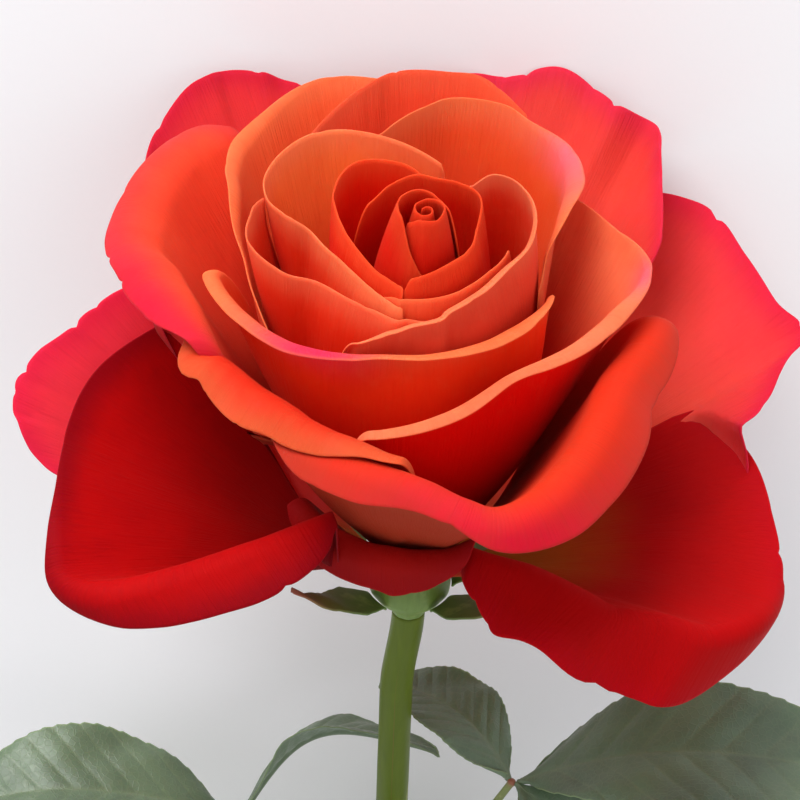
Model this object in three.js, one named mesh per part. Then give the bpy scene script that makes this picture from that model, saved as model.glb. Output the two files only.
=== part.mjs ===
// A cut garden rose, laid on its side: bloom, hip, sepals, prickly stem and two compound leaves.
// Millimetres, +Z up. The bloom's axis and the stem run along Y, with the bloom at the +Y end.
import * as THREE from 'three';
import { mergeVertices } from 'three/addons/utils/BufferGeometryUtils.js';

// ---- driving dimensions (mm) --------------------------------------------------------------------
const BLOOM_WIDTH = 120;        // across the open bloom
const BLOOM_HEIGHT = 66;        // from the petals' base to the tip of the bud
const PETAL_THICKNESS = 0.45;
const PETAL_GAP = 0.9;          // middle surface to middle surface where petals lie together
const HIP_DIAMETER = 13;        // green receptacle under the petals
const HIP_LENGTH = 7;           // from its widest place down to the stem
const SEPAL_LENGTH = 18;
const SEPAL_WIDTH = 8;
const STEM_DIAMETER = 5.4;
const STEM_LENGTH = 250;        // from the hip to the cut end
const PRICKLE_LENGTH = 6;
const PRICKLE_WIDTH = 3;        // at the root
const LEAFLET_WIDTH = 25;       // the end leaflet; the pairs beside it are narrower
const LEAF_THICKNESS = 0.5;
const RACHIS_DIAMETER = 1.8;
const FIT_GAP = 0.35;           // left between pieces that grow on one another

// ---- values worked out from them ----------------------------------------------------------------
const REACH_SCALE = BLOOM_WIDTH / 120;
const HEIGHT_SCALE = BLOOM_HEIGHT / 66;
const HIP_RADIUS = HIP_DIAMETER / 2;
const STEM_RADIUS = STEM_DIAMETER / 2;
const BASE_DEPTH = HIP_RADIUS - 0.5;                          // the petals' common centre, below the origin
const BASE_RADIUS = HIP_RADIUS + FIT_GAP + PETAL_THICKNESS;   // ball on which the petals root
const DEG = Math.PI / 180;

// ---- petals -------------------------------------------------------------------------------------
// Each petal's rim is a smooth curve through points [bearing, reach, height]: degrees round the bloom's
// axis (0 faces up when the rose lies down, 90 is its right side), mm from the axis, mm above the base,
// for a bloom 120 wide and 66 high. cup bulges the petal outwards (degrees). roll is how far the
// margin turns back beyond the rim, curl the radius it turns round, turn the most it turns (degrees).
// root is how far a petal leans at its root, corner the share of its span that its corners take up.
const PETALS = [
  { name: 'petal_bud_core', scroll: true, cup: 3,
    rim: [[-70, 2.4, 63], [-29, 2.6, 64.4], [1, 2.8, 65], [37, 2.9, 64.8], [70, 3, 65.2],
      [110, 2.4, 65.4], [160, 1.8, 65.2], [220, 1.3, 64.8], [290, 0.9, 64.2], [360, 0.6, 63.6]] },
  { name: 'petal_bud_wrap', cup: 5,
    rim: [[-260, 1.8, 64.5], [-215, 2.6, 65.4], [-165, 3.2, 66], [-120, 3.5, 66], [-85, 3.7, 65.6],
      [-55, 4, 64.5], [-35, 4.3, 62.5], [-18, 4.8, 60], [-2, 5.3, 57.5]] },
  { name: 'petal_ring', cup: 6,
    rim: [[-137, 11, 60], [-154, 11, 62], [-173, 10, 64], [-195, 9, 64], [-228, 10, 63],
      [-262, 7.5, 60.5], [-320, 6.3, 59.5], [-371, 7.2, 58]] },
  { name: 'petal_heart', cup: 6, corner: 0.03,
    rim: [[-180, 13, 61], [-166, 16, 62], [-145, 18, 62], [-124, 16, 61], [-110, 13, 60], [-79, 9, 58.6],
      [-48, 7.8, 57.2], [-20, 7.6, 56.4]] },
  { name: 'petal_front_small', cup: 6,
    rim: [[-62, 8, 52.5], [-38, 8.4, 54.8], [-10, 8.6, 55.6], [30, 8.8, 56], [65, 10, 57],
      [91, 12, 58]] },
  { name: 'petal_left_cup', cup: 6, corner: 0.03,
    rim: [[-186, 20, 59], [-170, 24, 60], [-154, 29, 60], [-141, 30, 60], [-124, 28, 59], [-115, 25, 58],
      [-108, 20, 58], [-104, 16.5, 57], [-85, 12.2, 56.6], [-60, 10, 56], [-38, 9.2, 55.4],
      [-16, 8.8, 54.8]] },
  { name: 'petal_left_pocket', cup: 6, corner: 0.03,
    rim: [[-115, 26, 58], [-108, 26, 58], [-99, 25.6, 57], [-90, 23.5, 56], [-82, 19.5, 55],
      [-74, 15, 54.4], [-45, 11.6, 53.8], [-15, 10.4, 53.4], [14, 10.4, 53]] },
  { name: 'petal_right_lobe', cup: 6, roll: [0, 0, 0, 1, 2, 2.8, 3, 2.8, 1.5], curl: 1.6,
    rim: [[148, 13, 61], [142, 16, 62], [132, 18, 61], [111, 17, 60], [94, 15, 58], [66, 11, 56],
      [20, 10, 53.6], [-17, 12, 51.6], [-35, 15.5, 49.6]] },
  { name: 'petal_back_inner', cup: 6, roll: [0, 0, 0, 0, 1, 3, 4, 3, 1, 0], curl: 3,
    rim: [[-167, 30, 57], [-179, 35, 58], [-186, 38, 58], [-198, 39, 57.5], [-206, 36.5, 56.6],
      [-218, 33, 55.5], [-226, 29, 54.5], [-235, 24, 53.5], [-250, 19, 52], [-265, 16, 50.5]] },
  { name: 'petal_back_middle', cup: 5,
    rim: [[-150, 37, 53], [-161, 42, 55], [-169, 46, 56], [-175, 49, 56], [-184, 49, 56], [-191, 48, 56],
      [-200, 44, 54]] },
  { name: 'petal_left_tall', cup: 5, roll: [0, 0, 1, 2, 3, 3, 3, 2, 1, 0], curl: 3,
    rim: [[-174, 51, 52.5], [-164, 51.5, 53.5], [-158, 49.5, 53.5], [-147, 43.5, 53.5],
      [-137, 39.5, 52.8], [-129, 35.5, 52.8], [-123, 32.5, 52.8], [-113, 29, 51], [-101, 25.5, 49.5],
      [-81, 22, 45]] },
  { name: 'petal_front_smile', cup: 3, roll: [3, 3.4, 3.4, 3.2, 3, 3.6, 3.6, 0.5], curl: 1.6,
    rim: [[-93, 29, 50], [-74, 25, 50], [-53, 22, 50], [-34, 17, 49], [-14, 15, 49], [16, 14, 49],
      [54, 14, 49], [86, 18, 50]] },
  { name: 'petal_right_wrap', cup: 3, roll: [0, 0, 1, 2, 4, 4, 4, 4, 3], curl: 2,
    rim: [[136, 33, 50], [123, 33, 50], [106, 33.5, 50], [99, 32, 49], [86, 26.5, 48], [60, 21, 47],
      [40, 19, 46], [17, 19.5, 44], [-15, 23, 42]] },
  { name: 'petal_left_large', cup: 2, roll: [2, 8, 9, 10, 11, 10, 5], curl: 5.5,
    rim: [[-141, 45, 50], [-132, 45, 50], [-109, 40, 50], [-101, 38, 50], [-92, 34, 50], [-81, 31, 48],
      [-72, 29.8, 45.6]] },
  { name: 'petal_left_strip', cup: 2, roll: [1, 6, 8.5, 9, 7.5, 5, 3], curl: 3, turn: 112,
    rim: [[-77, 31.5, 45.7], [-69, 29.5, 45.3], [-58, 27.5, 44.5], [-44, 26, 43.5], [-30, 25.5, 42.8],
      [-16, 26, 42.4], [-4, 27.5, 42]] },
  { name: 'petal_front_vee', cup: 1,
    roll: [0.5, 5, 9, 9.5, 8, 7, 9, 11, 12, 12, 10, 2], curl: 3.6, turn: 112,
    rim: [[-46, 27.5, 40], [-34, 27, 40.3], [-20, 27, 40.8], [-7, 28.5, 41.4], [4, 31, 41.2],
      [12, 34.5, 41], [18, 36.5, 40.5], [27, 35, 40.5], [38, 32, 41], [54, 29, 42], [72, 27.5, 42.5],
      [94, 31.5, 43]] },
  { name: 'petal_front_tip', cup: 0, root: 42, corner: 0.03,
    roll: [3, 8, 9, 10, 8, 4, 0.5], curl: 2.2, turn: 140,
    rim: [[-64, 17.5, 16], [-45, 16.5, 15], [-25, 15.5, 14], [-8, 15, 13.5], [8, 15, 13.5], [23, 15.5, 14.5],
      [33, 17, 16]] },
  { name: 'petal_lower_left', cup: 0, root: 60, corner: 0.03,
    roll: [0, 0, 0, 1, 2, 4, 9, 11, 11.5, 10, 3], curl: 2.6, turn: 115,
    rim: [[-112, 42, 30], [-98, 48, 28.5], [-86, 51, 26], [-75, 52.8, 24], [-67, 55, 21.5],
      [-60.5, 56, 18.5], [-56, 50.5, 18], [-52, 43, 19], [-48.5, 35.5, 20], [-43.5, 27, 20.5],
      [-37, 19.5, 21]] },
  { name: 'petal_lower_right', cup: 0, root: 60, corner: 0.03,
    roll: [0, 0, 0, 1, 3, 8, 14, 15, 14, 14, 14, 10, 4], curl: 2.5, turn: 108,
    rim: [[108, 46, 18], [99, 51, 16], [90, 53.5, 13.5], [82, 54.5, 11.5], [74, 55.5, 9.5],
      [66, 54.5, 10], [59, 50, 11], [55.5, 45, 12], [52, 38, 12], [51, 31, 12], [48, 24, 12],
      [41, 18.5, 12], [29, 13, 12]] },
  { name: 'petal_back_left', cup: 0, root: 50, corner: 0.04,
    rim: [[-112, 46, 36], [-125, 54, 43], [-131, 58, 44.5], [-138, 62, 47], [-145, 64.5, 49.5],
      [-150, 64.5, 50], [-155, 61.5, 50], [-161, 57.5, 50], [-168, 56, 49.5], [-178, 52, 47]] },
  { name: 'petal_back_right', cup: 0, root: 54, corner: 0.04,
    rim: [[204, 46, 42], [188, 54, 47], [174, 58.5, 50], [166, 61, 50], [159, 64.5, 49.5],
      [151, 62, 47.5], [145, 64.5, 44.3], [138, 56, 43.5], [130, 48, 40]] },
  { name: 'petal_far_right', cup: 0, root: 64, corner: 0.05,
    rim: [[158, 50, 30], [146, 62, 33], [136, 66, 33], [126, 64, 30.5], [117, 63, 28], [111, 65, 26.5],
      [106, 59, 25.5], [99, 52, 24], [92, 45, 23], [85, 39, 22]] },
  { name: 'petal_far_left', cup: 0, root: 64, corner: 0.05,
    rim: [[-128, 38, 32], [-116, 49, 33], [-106, 54, 31], [-100, 58, 29], [-95, 61, 26], [-91, 60, 22],
      [-87, 56, 17], [-82, 46, 15]] },
];
const PETAL_COLUMNS = 10;       // facets across a petal
const PETAL_ROWS = 6;           // facets from root to rim
const ROLL_ROWS = 3;            // facets in a rolled margin
const PRESS_PASSES = 5;         // rounds of leaning each petal clear of those inside it
const INNER_ROOT = 8;           // lean of the innermost petal at its root, degrees
const ROOT_STEP = 42;           // how much further the outermost leans there
const FACET_SAMPLES = 16;       // places tested across a facet, each way
const CLAW_SHARE = 0.32;        // width of the petal's root against its rim, in degrees of bearing
const CORNER_SHARE = 0.07;      // rounded corner beyond each end of the rim, as a share of the petal's span
const CORNER_DROP = 0.3;        // how far the rim falls at that corner, as a share of the petal's length

// Smooth curve (Catmull-Rom) through evenly spaced values, at t counted in values.
function through(values, t) {
  const last = values.length - 1;
  const at = Math.min(Math.max(t, 0), last - 1e-9);
  const i = Math.floor(at);
  const f = at - i;
  const b = values[i];
  const c = values[i + 1];
  const a = i > 0 ? values[i - 1] : 2 * b - c;
  const d = i < last - 1 ? values[i + 2] : 2 * c - b;
  return b + 0.5 * f * (c - a + f * (2 * a - 5 * b + 4 * c - d + f * (3 * (b - c) + d - a)));
}

function smoothStep(x) {
  const s = Math.min(Math.max(x, 0), 1);
  return s * s * (3 - 2 * s);
}

// A point given by bearing, distance from the petals' common centre and angle off the axis (degrees).
function place(bearing, distance, lean) {
  const reach = distance * Math.sin(lean * DEG);
  return new THREE.Vector3(
    reach * Math.sin(bearing * DEG),
    -reach * Math.cos(bearing * DEG),
    distance * Math.cos(lean * DEG) - BASE_DEPTH,
  );
}

// The outermost lean taken so far, over bearing and distance: each petal lies outside it.
const cover = {
  bearings: 180,
  distances: 90,
  nearest: 5,
  step: Math.max(REACH_SCALE, HEIGHT_SCALE),
  lean: new Float64Array(180 * 90),
};

function coverCell(column, row) {
  const i = ((column % cover.bearings) + cover.bearings) % cover.bearings;
  const j = Math.min(Math.max(row, 0), cover.distances - 1);
  return i * cover.distances + j;
}

// Where a point is on the cover, in cells (whole cells are the corners of the grid), and its lean.
function onCover(point) {
  const reach = Math.hypot(point.x, point.y);
  const rise = point.z + BASE_DEPTH;
  const distance = Math.hypot(reach, rise);
  return {
    column: (Math.atan2(point.x, -point.y) / (2 * Math.PI)) * cover.bearings,
    row: (distance - cover.nearest) / cover.step,
    distance,
    lean: Math.atan2(reach, rise) / DEG,
  };
}

// Calls visit(point, corners) for samples all over a grid's facets; corners are [column, row, weight].
function overFacets(grid, visit) {
  const samples = FACET_SAMPLES;
  for (let i = 0; i < grid.length - 1; i += 1) {
    for (let j = 0; j < grid[0].length - 1; j += 1) {
      for (let k = 0; k < samples * samples; k += 1) {
        const fu = (k % samples) / (samples - 1);
        const fv = Math.floor(k / samples) / (samples - 1);
        const corners = [
          [i, j, (1 - fu) * (1 - fv)],
          [i + 1, j, fu * (1 - fv)],
          [i, j + 1, (1 - fu) * fv],
          [i + 1, j + 1, fu * fv],
        ];
        const point = new THREE.Vector3();
        corners.forEach(([column, row, weight]) => point.addScaledVector(grid[column][row], weight));
        visit(point, corners);
      }
    }
  }
}

function layOnCover(grid) {
  overFacets(grid, (point) => {
    const at = onCover(point);
    const cell = coverCell(Math.round(at.column), Math.round(at.row));
    cover.lean[cell] = Math.max(cover.lean[cell], at.lean);
  });
}

// The lean already taken at a place: the mean of the cells round it that any petal reaches.
function takenLean(at) {
  const column = Math.floor(at.column);
  const row = Math.floor(at.row);
  let sum = 0;
  let weights = 0;
  for (let k = 0; k < 4; k += 1) {
    const di = k % 2;
    const dj = Math.floor(k / 2);
    const lean = cover.lean[coverCell(column + di, row + dj)];
    const weight = (1 - Math.abs(at.column - column - di)) * (1 - Math.abs(at.row - row - dj)) + 1e-6;
    if (lean > 0) {
      sum += lean * weight;
      weights += weight;
    }
  }
  return weights > 0 ? sum / weights : 0;
}

// Leans a petal outwards wherever its facets would come within the gap of the petals inside it.
function pressOut(grid) {
  for (let pass = 0; pass < PRESS_PASSES; pass += 1) {
    const push = grid.map((column) => column.map(() => 0));
    overFacets(grid, (point, corners) => {
      const at = onCover(point);
      const taken = takenLean(at);
      const short = taken + PETAL_GAP / at.distance / DEG - at.lean;
      if (taken === 0 || short <= 0) return;
      const share = corners.reduce((sum, corner) => sum + corner[2] * corner[2], 0);
      corners.forEach(([i, j, weight]) => {
        push[i][j] = Math.max(push[i][j], (short * weight) / share);
      });
    });
    grid.forEach((column, i) => column.forEach((point, j) => {
      const at = onCover(point);
      const bearing = (at.column / cover.bearings) * 360;
      point.copy(place(bearing, at.distance, at.lean + push[i][j]));
    }));
  }
}

// The rim at t (in points of the rim list), with a rounded corner beyond each end.
function rimAt(petal, t) {
  const corner = petal.corner ?? CORNER_SHARE;
  const last = petal.rim.length - 1;
  const bearings = petal.rim.map((point) => point[0]);
  const span = bearings[last] - bearings[0];
  const beyond = petal.scroll ? 0 : Math.max(-t, t - last, 0) / (corner * last);
  const bearing = through(bearings, t) + Math.sign(t) * beyond * corner * span;
  const reach = through(petal.rim.map((point) => point[1] * REACH_SCALE), t);
  const rise = through(petal.rim.map((point) => point[2] * HEIGHT_SCALE), t) + BASE_DEPTH;
  const fall = 1 - CORNER_DROP * (1 - Math.sqrt(Math.max(1 - beyond * beyond, 0)));
  return { bearing, distance: Math.hypot(reach, rise), lean: Math.atan2(reach, rise) / DEG, fall };
}

// A petal's middle surface: columns across it, each a line from the root up to the rim and round the roll.
function petalSurface(petal, order) {
  const last = petal.rim.length - 1;
  const corner = petal.scroll ? 0 : (petal.corner ?? CORNER_SHARE) * last;
  const middle = (petal.rim[0][0] + petal.rim[last][0]) / 2;
  const columns = petal.scroll ? 2 * PETAL_COLUMNS : PETAL_COLUMNS;
  const root = petal.root ?? INNER_ROOT + ROOT_STEP * order;
  const grid = [];
  for (let i = 0; i <= columns; i += 1) {
    const t = THREE.MathUtils.lerp(-corner, last + corner, i / columns);
    const rim = rimAt(petal, t);
    const column = [];
    for (let j = 0; j <= PETAL_ROWS; j += 1) {
      const v = (rim.fall * j) / PETAL_ROWS;
      const claw = petal.scroll ? 1 : CLAW_SHARE + (1 - CLAW_SHARE) * smoothStep(v / 0.55);
      const bearing = middle + (rim.bearing - middle) * claw;
      const distance = THREE.MathUtils.lerp(BASE_RADIUS, rim.distance, v);
      const start = petal.scroll ? root * (1.6 - 1.2 * (i / columns)) : root;
      const bulge = petal.cup * Math.sin(Math.PI * v ** 0.85);
      column.push(place(bearing, distance, THREE.MathUtils.lerp(start, rim.lean, v) + bulge));
    }
    grid.push(column);
  }
  if (!petal.scroll) pressOut(grid);
  if (petal.roll) grid.forEach((column, i) => rollMargin(petal, grid, column, i));
  return grid;
}

// Carries a column on beyond the rim round a circle of the petal's curl, outwards and down.
function rollMargin(petal, grid, column, i) {
  const columns = grid.length - 1;
  const end = column[PETAL_ROWS];
  const along = end.clone().sub(column[PETAL_ROWS - 1]).normalize();
  const across = grid[Math.min(i + 1, columns)][PETAL_ROWS].clone();
  across.sub(grid[Math.max(i - 1, 0)][PETAL_ROWS]);
  const out = new THREE.Vector3().crossVectors(across, along).normalize();
  if (out.x * end.x + out.y * end.y - out.z * 1e-3 < 0) out.negate();
  const length = Math.max(through(petal.roll, (i / columns) * (petal.roll.length - 1)), 0.3) * REACH_SCALE;
  const most = (petal.turn ?? 150) * DEG;
  const radius = petal.curl * REACH_SCALE;
  for (let k = 1; k <= ROLL_ROWS; k += 1) {
    const run = (length * k) / ROLL_ROWS;
    const angle = Math.min(run / radius, most);
    const straight = run - angle * radius;
    const point = end.clone();
    point.addScaledVector(along, radius * Math.sin(angle) + straight * Math.cos(angle));
    point.addScaledVector(out, radius * (1 - Math.cos(angle)) + straight * Math.sin(angle));
    column.push(point);
  }
}

// ---- closed solids from surfaces ----------------------------------------------------------------
// A closed shell of the given thickness about a grid of points, its faces pointing out.
function shell(grid, thickness) {
  const columns = grid.length;
  const rows = grid[0].length;
  const positions = [];
  for (const side of [0.5, -0.5]) {
    for (let i = 0; i < columns; i += 1) {
      for (let j = 0; j < rows; j += 1) {
        const across = grid[Math.min(i + 1, columns - 1)][j].clone().sub(grid[Math.max(i - 1, 0)][j]);
        const along = grid[i][Math.min(j + 1, rows - 1)].clone().sub(grid[i][Math.max(j - 1, 0)]);
        const normal = across.cross(along).normalize();
        const point = grid[i][j].clone().addScaledVector(normal, side * thickness);
        positions.push(point.x, point.y, point.z);
      }
    }
  }
  const faces = [];
  const half = columns * rows;
  const quad = (a, b, c, d) => faces.push(a, b, c, a, c, d);
  for (let i = 0; i < columns - 1; i += 1) {
    for (let j = 0; j < rows - 1; j += 1) {
      const a = i * rows + j;
      const b = a + rows;
      quad(a, b, b + 1, a + 1);
      quad(half + a, half + a + 1, half + b + 1, half + b);
    }
  }
  for (let i = 0; i < columns - 1; i += 1) {
    const low = i * rows;
    const high = low + rows - 1;
    quad(low, half + low, half + low + rows, low + rows);
    quad(high, high + rows, half + high + rows, half + high);
  }
  for (let j = 0; j < rows - 1; j += 1) {
    const near = j;
    const far = (columns - 1) * rows + j;
    quad(near, near + 1, half + near + 1, half + near);
    quad(far, half + far, half + far + 1, far + 1);
  }
  return solid(positions, faces);
}

// A round stalk along a list of points, with a radius at each and a flat cap on both ends.
function stalk(points, radii, sides = 10) {
  const positions = [];
  const faces = [];
  let side = new THREE.Vector3(1, 0, 0);
  points.forEach((point, i) => {
    const ahead = points[Math.min(i + 1, points.length - 1)];
    const behind = points[Math.max(i - 1, 0)];
    const along = ahead.clone().sub(behind).normalize();
    side = side.clone().addScaledVector(along, -side.dot(along)).normalize();
    const up = along.clone().cross(side);
    for (let k = 0; k < sides; k += 1) {
      const angle = (2 * Math.PI * k) / sides;
      const ring = point.clone().addScaledVector(side, radii[i] * Math.cos(angle));
      ring.addScaledVector(up, radii[i] * Math.sin(angle));
      positions.push(ring.x, ring.y, ring.z);
    }
  });
  const end = (points.length - 1) * sides;
  for (let i = 0; i < points.length - 1; i += 1) {
    for (let k = 0; k < sides; k += 1) {
      const a = i * sides + k;
      const b = i * sides + ((k + 1) % sides);
      faces.push(a, b, b + sides, a, b + sides, a + sides);
    }
  }
  for (let k = 1; k < sides - 1; k += 1) {
    faces.push(0, k + 1, k);
    faces.push(end, end + k, end + k + 1);
  }
  return solid(positions, faces);
}

function solid(positions, faces) {
  const geometry = new THREE.BufferGeometry();
  geometry.setAttribute('position', new THREE.Float32BufferAttribute(positions, 3));
  geometry.setIndex(faces);
  return mergeVertices(geometry, 1e-4);
}

// ---- materials and the flower -------------------------------------------------------------------
function finish(color, roughness) {
  return new THREE.MeshStandardMaterial({ color, roughness, metalness: 0 });
}

const GREEN_STEM = finish(0x73862f, 0.5);
const GREEN_HIP = finish(0x5f7a2c, 0.5);
const GREEN_LEAF = finish(0x55664a, 0.45);
const BROWN_PRICKLE = finish(0x8a5a3a, 0.5);

const rose = new THREE.Group();

function add(name, geometry, material) {
  const mesh = new THREE.Mesh(geometry, material);
  mesh.name = name;
  rose.add(mesh);
}

PETALS.forEach((petal, k) => {
  const surface = petalSurface(petal, k / PETALS.length);
  layOnCover(surface);
  const color = new THREE.Color(0xf2703c).lerp(new THREE.Color(0xc4101c), k / PETALS.length);
  add(petal.name, shell(surface, PETAL_THICKNESS), finish(color, 0.55));
});

// ---- hip and sepals -----------------------------------------------------------------------------
const HIP_FOOT = BASE_DEPTH + HIP_LENGTH;         // where the hip meets the stem, below the origin

// Ball-shaped top under the petals, then a smooth neck down to the stem.
function hip() {
  const profile = [];
  const ballSteps = 8;
  const neckSteps = 7;
  for (let i = 0; i <= ballSteps; i += 1) {
    const angle = (i / ballSteps) * 100 * DEG;
    profile.push([HIP_RADIUS * Math.sin(angle), HIP_RADIUS * Math.cos(angle) - BASE_DEPTH]);
  }
  const [widest, top] = profile[ballSteps];
  for (let i = 1; i <= neckSteps; i += 1) {
    const v = i / neckSteps;
    const radius = THREE.MathUtils.lerp(widest, STEM_RADIUS, smoothStep(v));
    profile.push([radius, THREE.MathUtils.lerp(top, -HIP_FOOT, v)]);
  }
  profile.push([0, -HIP_FOOT]);
  const points = profile.reverse().map(([x, y]) => new THREE.Vector2(x, y));
  const geometry = new THREE.LatheGeometry(points, 24);
  geometry.deleteAttribute('normal');
  geometry.deleteAttribute('uv');
  geometry.rotateX(Math.PI / 2);
  return mergeVertices(geometry, 1e-4);
}
add('hip', hip(), GREEN_HIP);

// Pointed sepals that hug the underside of the petals, by their bearings.
const SEPAL_BEARINGS = [-50, 48, 108, 178, -118];
SEPAL_BEARINGS.forEach((bearing, k) => {
  const columns = 4;
  const rows = 7;
  const grid = [];
  for (let i = 0; i <= columns; i += 1) {
    const u = (2 * i) / columns - 1;
    const column = [];
    for (let j = 0; j <= rows; j += 1) {
      const v = j / rows;
      const distance = BASE_RADIUS + SEPAL_LENGTH * v;
      const lean = THREE.MathUtils.lerp(106, 66, Math.sqrt(v));
      const half = (SEPAL_WIDTH / 2) * Math.min(0.55 + 1.5 * v, 1.25 * (1 - v) + 0.06);
      column.push(place(bearing + (u * half) / distance / DEG, distance, lean));
    }
    grid.push(column);
  }
  pressOut(grid);
  layOnCover(grid);
  add(`sepal_${k + 1}`, shell(grid, PETAL_THICKNESS), GREEN_LEAF);
});

// ---- stem and prickles --------------------------------------------------------------------------
const STEM_OFFSET = -1.5;       // the stem stands a little to the left of the bloom's axis
const STEM_BOW = 3;             // gentle sideways bow towards the cut end

// A point of the stem's middle line, by distance below the hip.
function stemPoint(down) {
  const lean = STEM_OFFSET * smoothStep(down / 18);
  const bow = STEM_BOW * Math.sin((Math.PI * down) / STEM_LENGTH) ** 2;
  return new THREE.Vector3(lean - bow * smoothStep((down - 60) / 60), 0, -HIP_FOOT - down);
}

const stemPoints = [];
for (let down = FIT_GAP; down < STEM_LENGTH - 1; down += 14) stemPoints.push(stemPoint(down));
stemPoints.push(stemPoint(STEM_LENGTH));
add('stem', stalk(stemPoints, stemPoints.map(() => STEM_RADIUS), 12), GREEN_STEM);

// Hooked prickles: [distance below the hip, bearing].
const PRICKLES = [[89, 60], [123, -150], [157, 20], [187, 130], [215, -70]];
PRICKLES.forEach(([down, bearing], k) => {
  const out = new THREE.Vector3(Math.sin(bearing * DEG), -Math.cos(bearing * DEG), 0);
  const points = [0, 0.35, 0.7, 1].map((v) => {
    const point = stemPoint(down).addScaledVector(out, STEM_RADIUS + FIT_GAP + PRICKLE_LENGTH * v);
    point.z -= 0.45 * PRICKLE_LENGTH * v * v;
    return point;
  });
  const radii = [0.5, 0.3, 0.15, 0.05].map((share) => share * PRICKLE_WIDTH);
  add(`prickle_${k + 1}`, stalk(points, radii, 8), BROWN_PRICKLE);
});

// ---- compound leaves ----------------------------------------------------------------------------
// Each leaf has a stalk (rachis) from the stem through its points [right, back, up] and leaflets.
// A leaflet grows from point `at` of the stalk to its tip; face is the way its upper side looks,
// wide its width against the end leaflet's, arch how high it arches over its own length (mm).
const LEAVES = [
  {
    name: 'right_leaf',
    down: 83,
    points: [[4, -2, -84], [9, -3, -72], [14, -4, -58], [18.5, -4, -48]],
    leaflets: [
      { at: 3, tip: [82, -9, -42], face: [0, -0.1, 1], wide: 1, arch: 9 },
      { at: 3, tip: [-4, 15, -46], face: [0.1, 0, 1], wide: 0.62, arch: 6 },
      { at: 3, tip: [46, -24, -72], face: [0.4, -0.5, 0.8], wide: 0.75, arch: 4 },
      { at: 1, tip: [48, -18, -92], face: [0.3, -0.8, 0.5], wide: 0.8, arch: 3 },
      { at: 1, tip: [-24, -17, -70], face: [-0.1, -1, 0.2], wide: 0.75, arch: 3 },
    ],
  },
  {
    name: 'left_leaf',
    down: 107,
    points: [[-7, 4, -106], [-13, 6, -96], [-22, 8, -84], [-29, 10, -76]],
    leaflets: [
      { at: 3, tip: [-82, 3, -70], face: [0, -0.1, 1], wide: 1, arch: 8 },
      { at: 3, tip: [6, 16, -63], face: [-0.3, 0.5, 0.6], wide: 0.7, arch: 9 },
      { at: 3, tip: [-62, 18, -104], face: [-0.4, -0.6, 0.7], wide: 0.78, arch: 4 },
      { at: 1, tip: [-48, 12, -124], face: [-0.3, -0.8, 0.4], wide: 0.8, arch: 3 },
      { at: 1, tip: [24, 19, -106], face: [0.2, -0.9, 0.3], wide: 0.72, arch: 3 },
    ],
  },
];
const RACHIS_RADIUS = RACHIS_DIAMETER / 2;
const USUAL_STEM_RADIUS = 2.7;  // the stem that the leaf points were chosen for
const BLADE_FOLD = 0.22;        // how steeply the two halves of a blade rise from the midrib

function bladeWidth(v) {
  return Math.max(Math.sin(Math.PI * v ** 0.85) ** 0.8, 0.05);
}

// A blade from its foot to its tip, arched over its length and folded along the midrib.
function leaflet(foot, tip, face, width, arch) {
  const columns = 6;
  const rows = 8;
  const along = tip.clone().sub(foot);
  const across = along.clone().cross(face).normalize();
  const up = across.clone().cross(along).normalize();
  const grid = [];
  for (let i = 0; i <= columns; i += 1) {
    const u = (2 * i) / columns - 1;
    const column = [];
    for (let j = 0; j <= rows; j += 1) {
      const v = j / rows;
      const half = (width / 2) * bladeWidth(v);
      const point = foot.clone().addScaledVector(along, v);
      point.addScaledVector(across, u * half);
      point.addScaledVector(up, arch * Math.sin(Math.PI * v) + BLADE_FOLD * Math.abs(u) * half);
      column.push(point);
    }
    grid.push(column);
  }
  return shell(grid, LEAF_THICKNESS);
}

// A chosen point of a leaf, farther out from the stem by as much as the stem is thicker than usual.
function leafPoint([x, y, z]) {
  const point = new THREE.Vector3(x, y, z);
  const middle = stemPoint(-z - HIP_FOOT);
  const out = point.clone().sub(middle).setZ(0).normalize();
  return point.addScaledVector(out, STEM_RADIUS - USUAL_STEM_RADIUS);
}

LEAVES.forEach((leaf) => {
  const points = leaf.points.map(leafPoint);
  const root = stemPoint(leaf.down);
  const out = points[0].clone().sub(root).setZ(0).normalize();
  points.unshift(root.addScaledVector(out, STEM_RADIUS + FIT_GAP + RACHIS_RADIUS));
  const radii = points.map((point, k) => RACHIS_RADIUS * (k === 0 ? 1.2 : 1));
  add(`${leaf.name}_rachis`, stalk(points, radii, 8), GREEN_STEM);
  leaf.leaflets.forEach((spec, k) => {
    const node = points[spec.at + 1];
    const tip = leafPoint(spec.tip);
    const away = tip.clone().sub(node).normalize();
    const foot = node.clone().addScaledVector(away, RACHIS_RADIUS + FIT_GAP + 0.6);
    const face = new THREE.Vector3(...spec.face);
    const width = LEAFLET_WIDTH * spec.wide;
    add(`${leaf.name}_leaflet_${k + 1}`, leaflet(foot, tip, face, width, spec.arch), GREEN_LEAF);
  });
});

// ---- laid down ----------------------------------------------------------------------------------
// The bloom's axis turns from +Z to +Y, and the rose tips until a back petal and the cut end both rest.
function tipToRest() {
  const end = stemPoint(STEM_LENGTH);
  let steepest = 0;
  rose.traverse((mesh) => {
    if (!mesh.isMesh) return;
    const position = mesh.geometry.getAttribute('position');
    for (let i = 0; i < position.count; i += 1) {
      const above = position.getZ(i) - end.z;
      if (above < STEM_LENGTH / 2) continue;
      steepest = Math.max(steepest, Math.atan2(position.getY(i) - STEM_RADIUS, above));
    }
  });
  return steepest;
}

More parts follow.
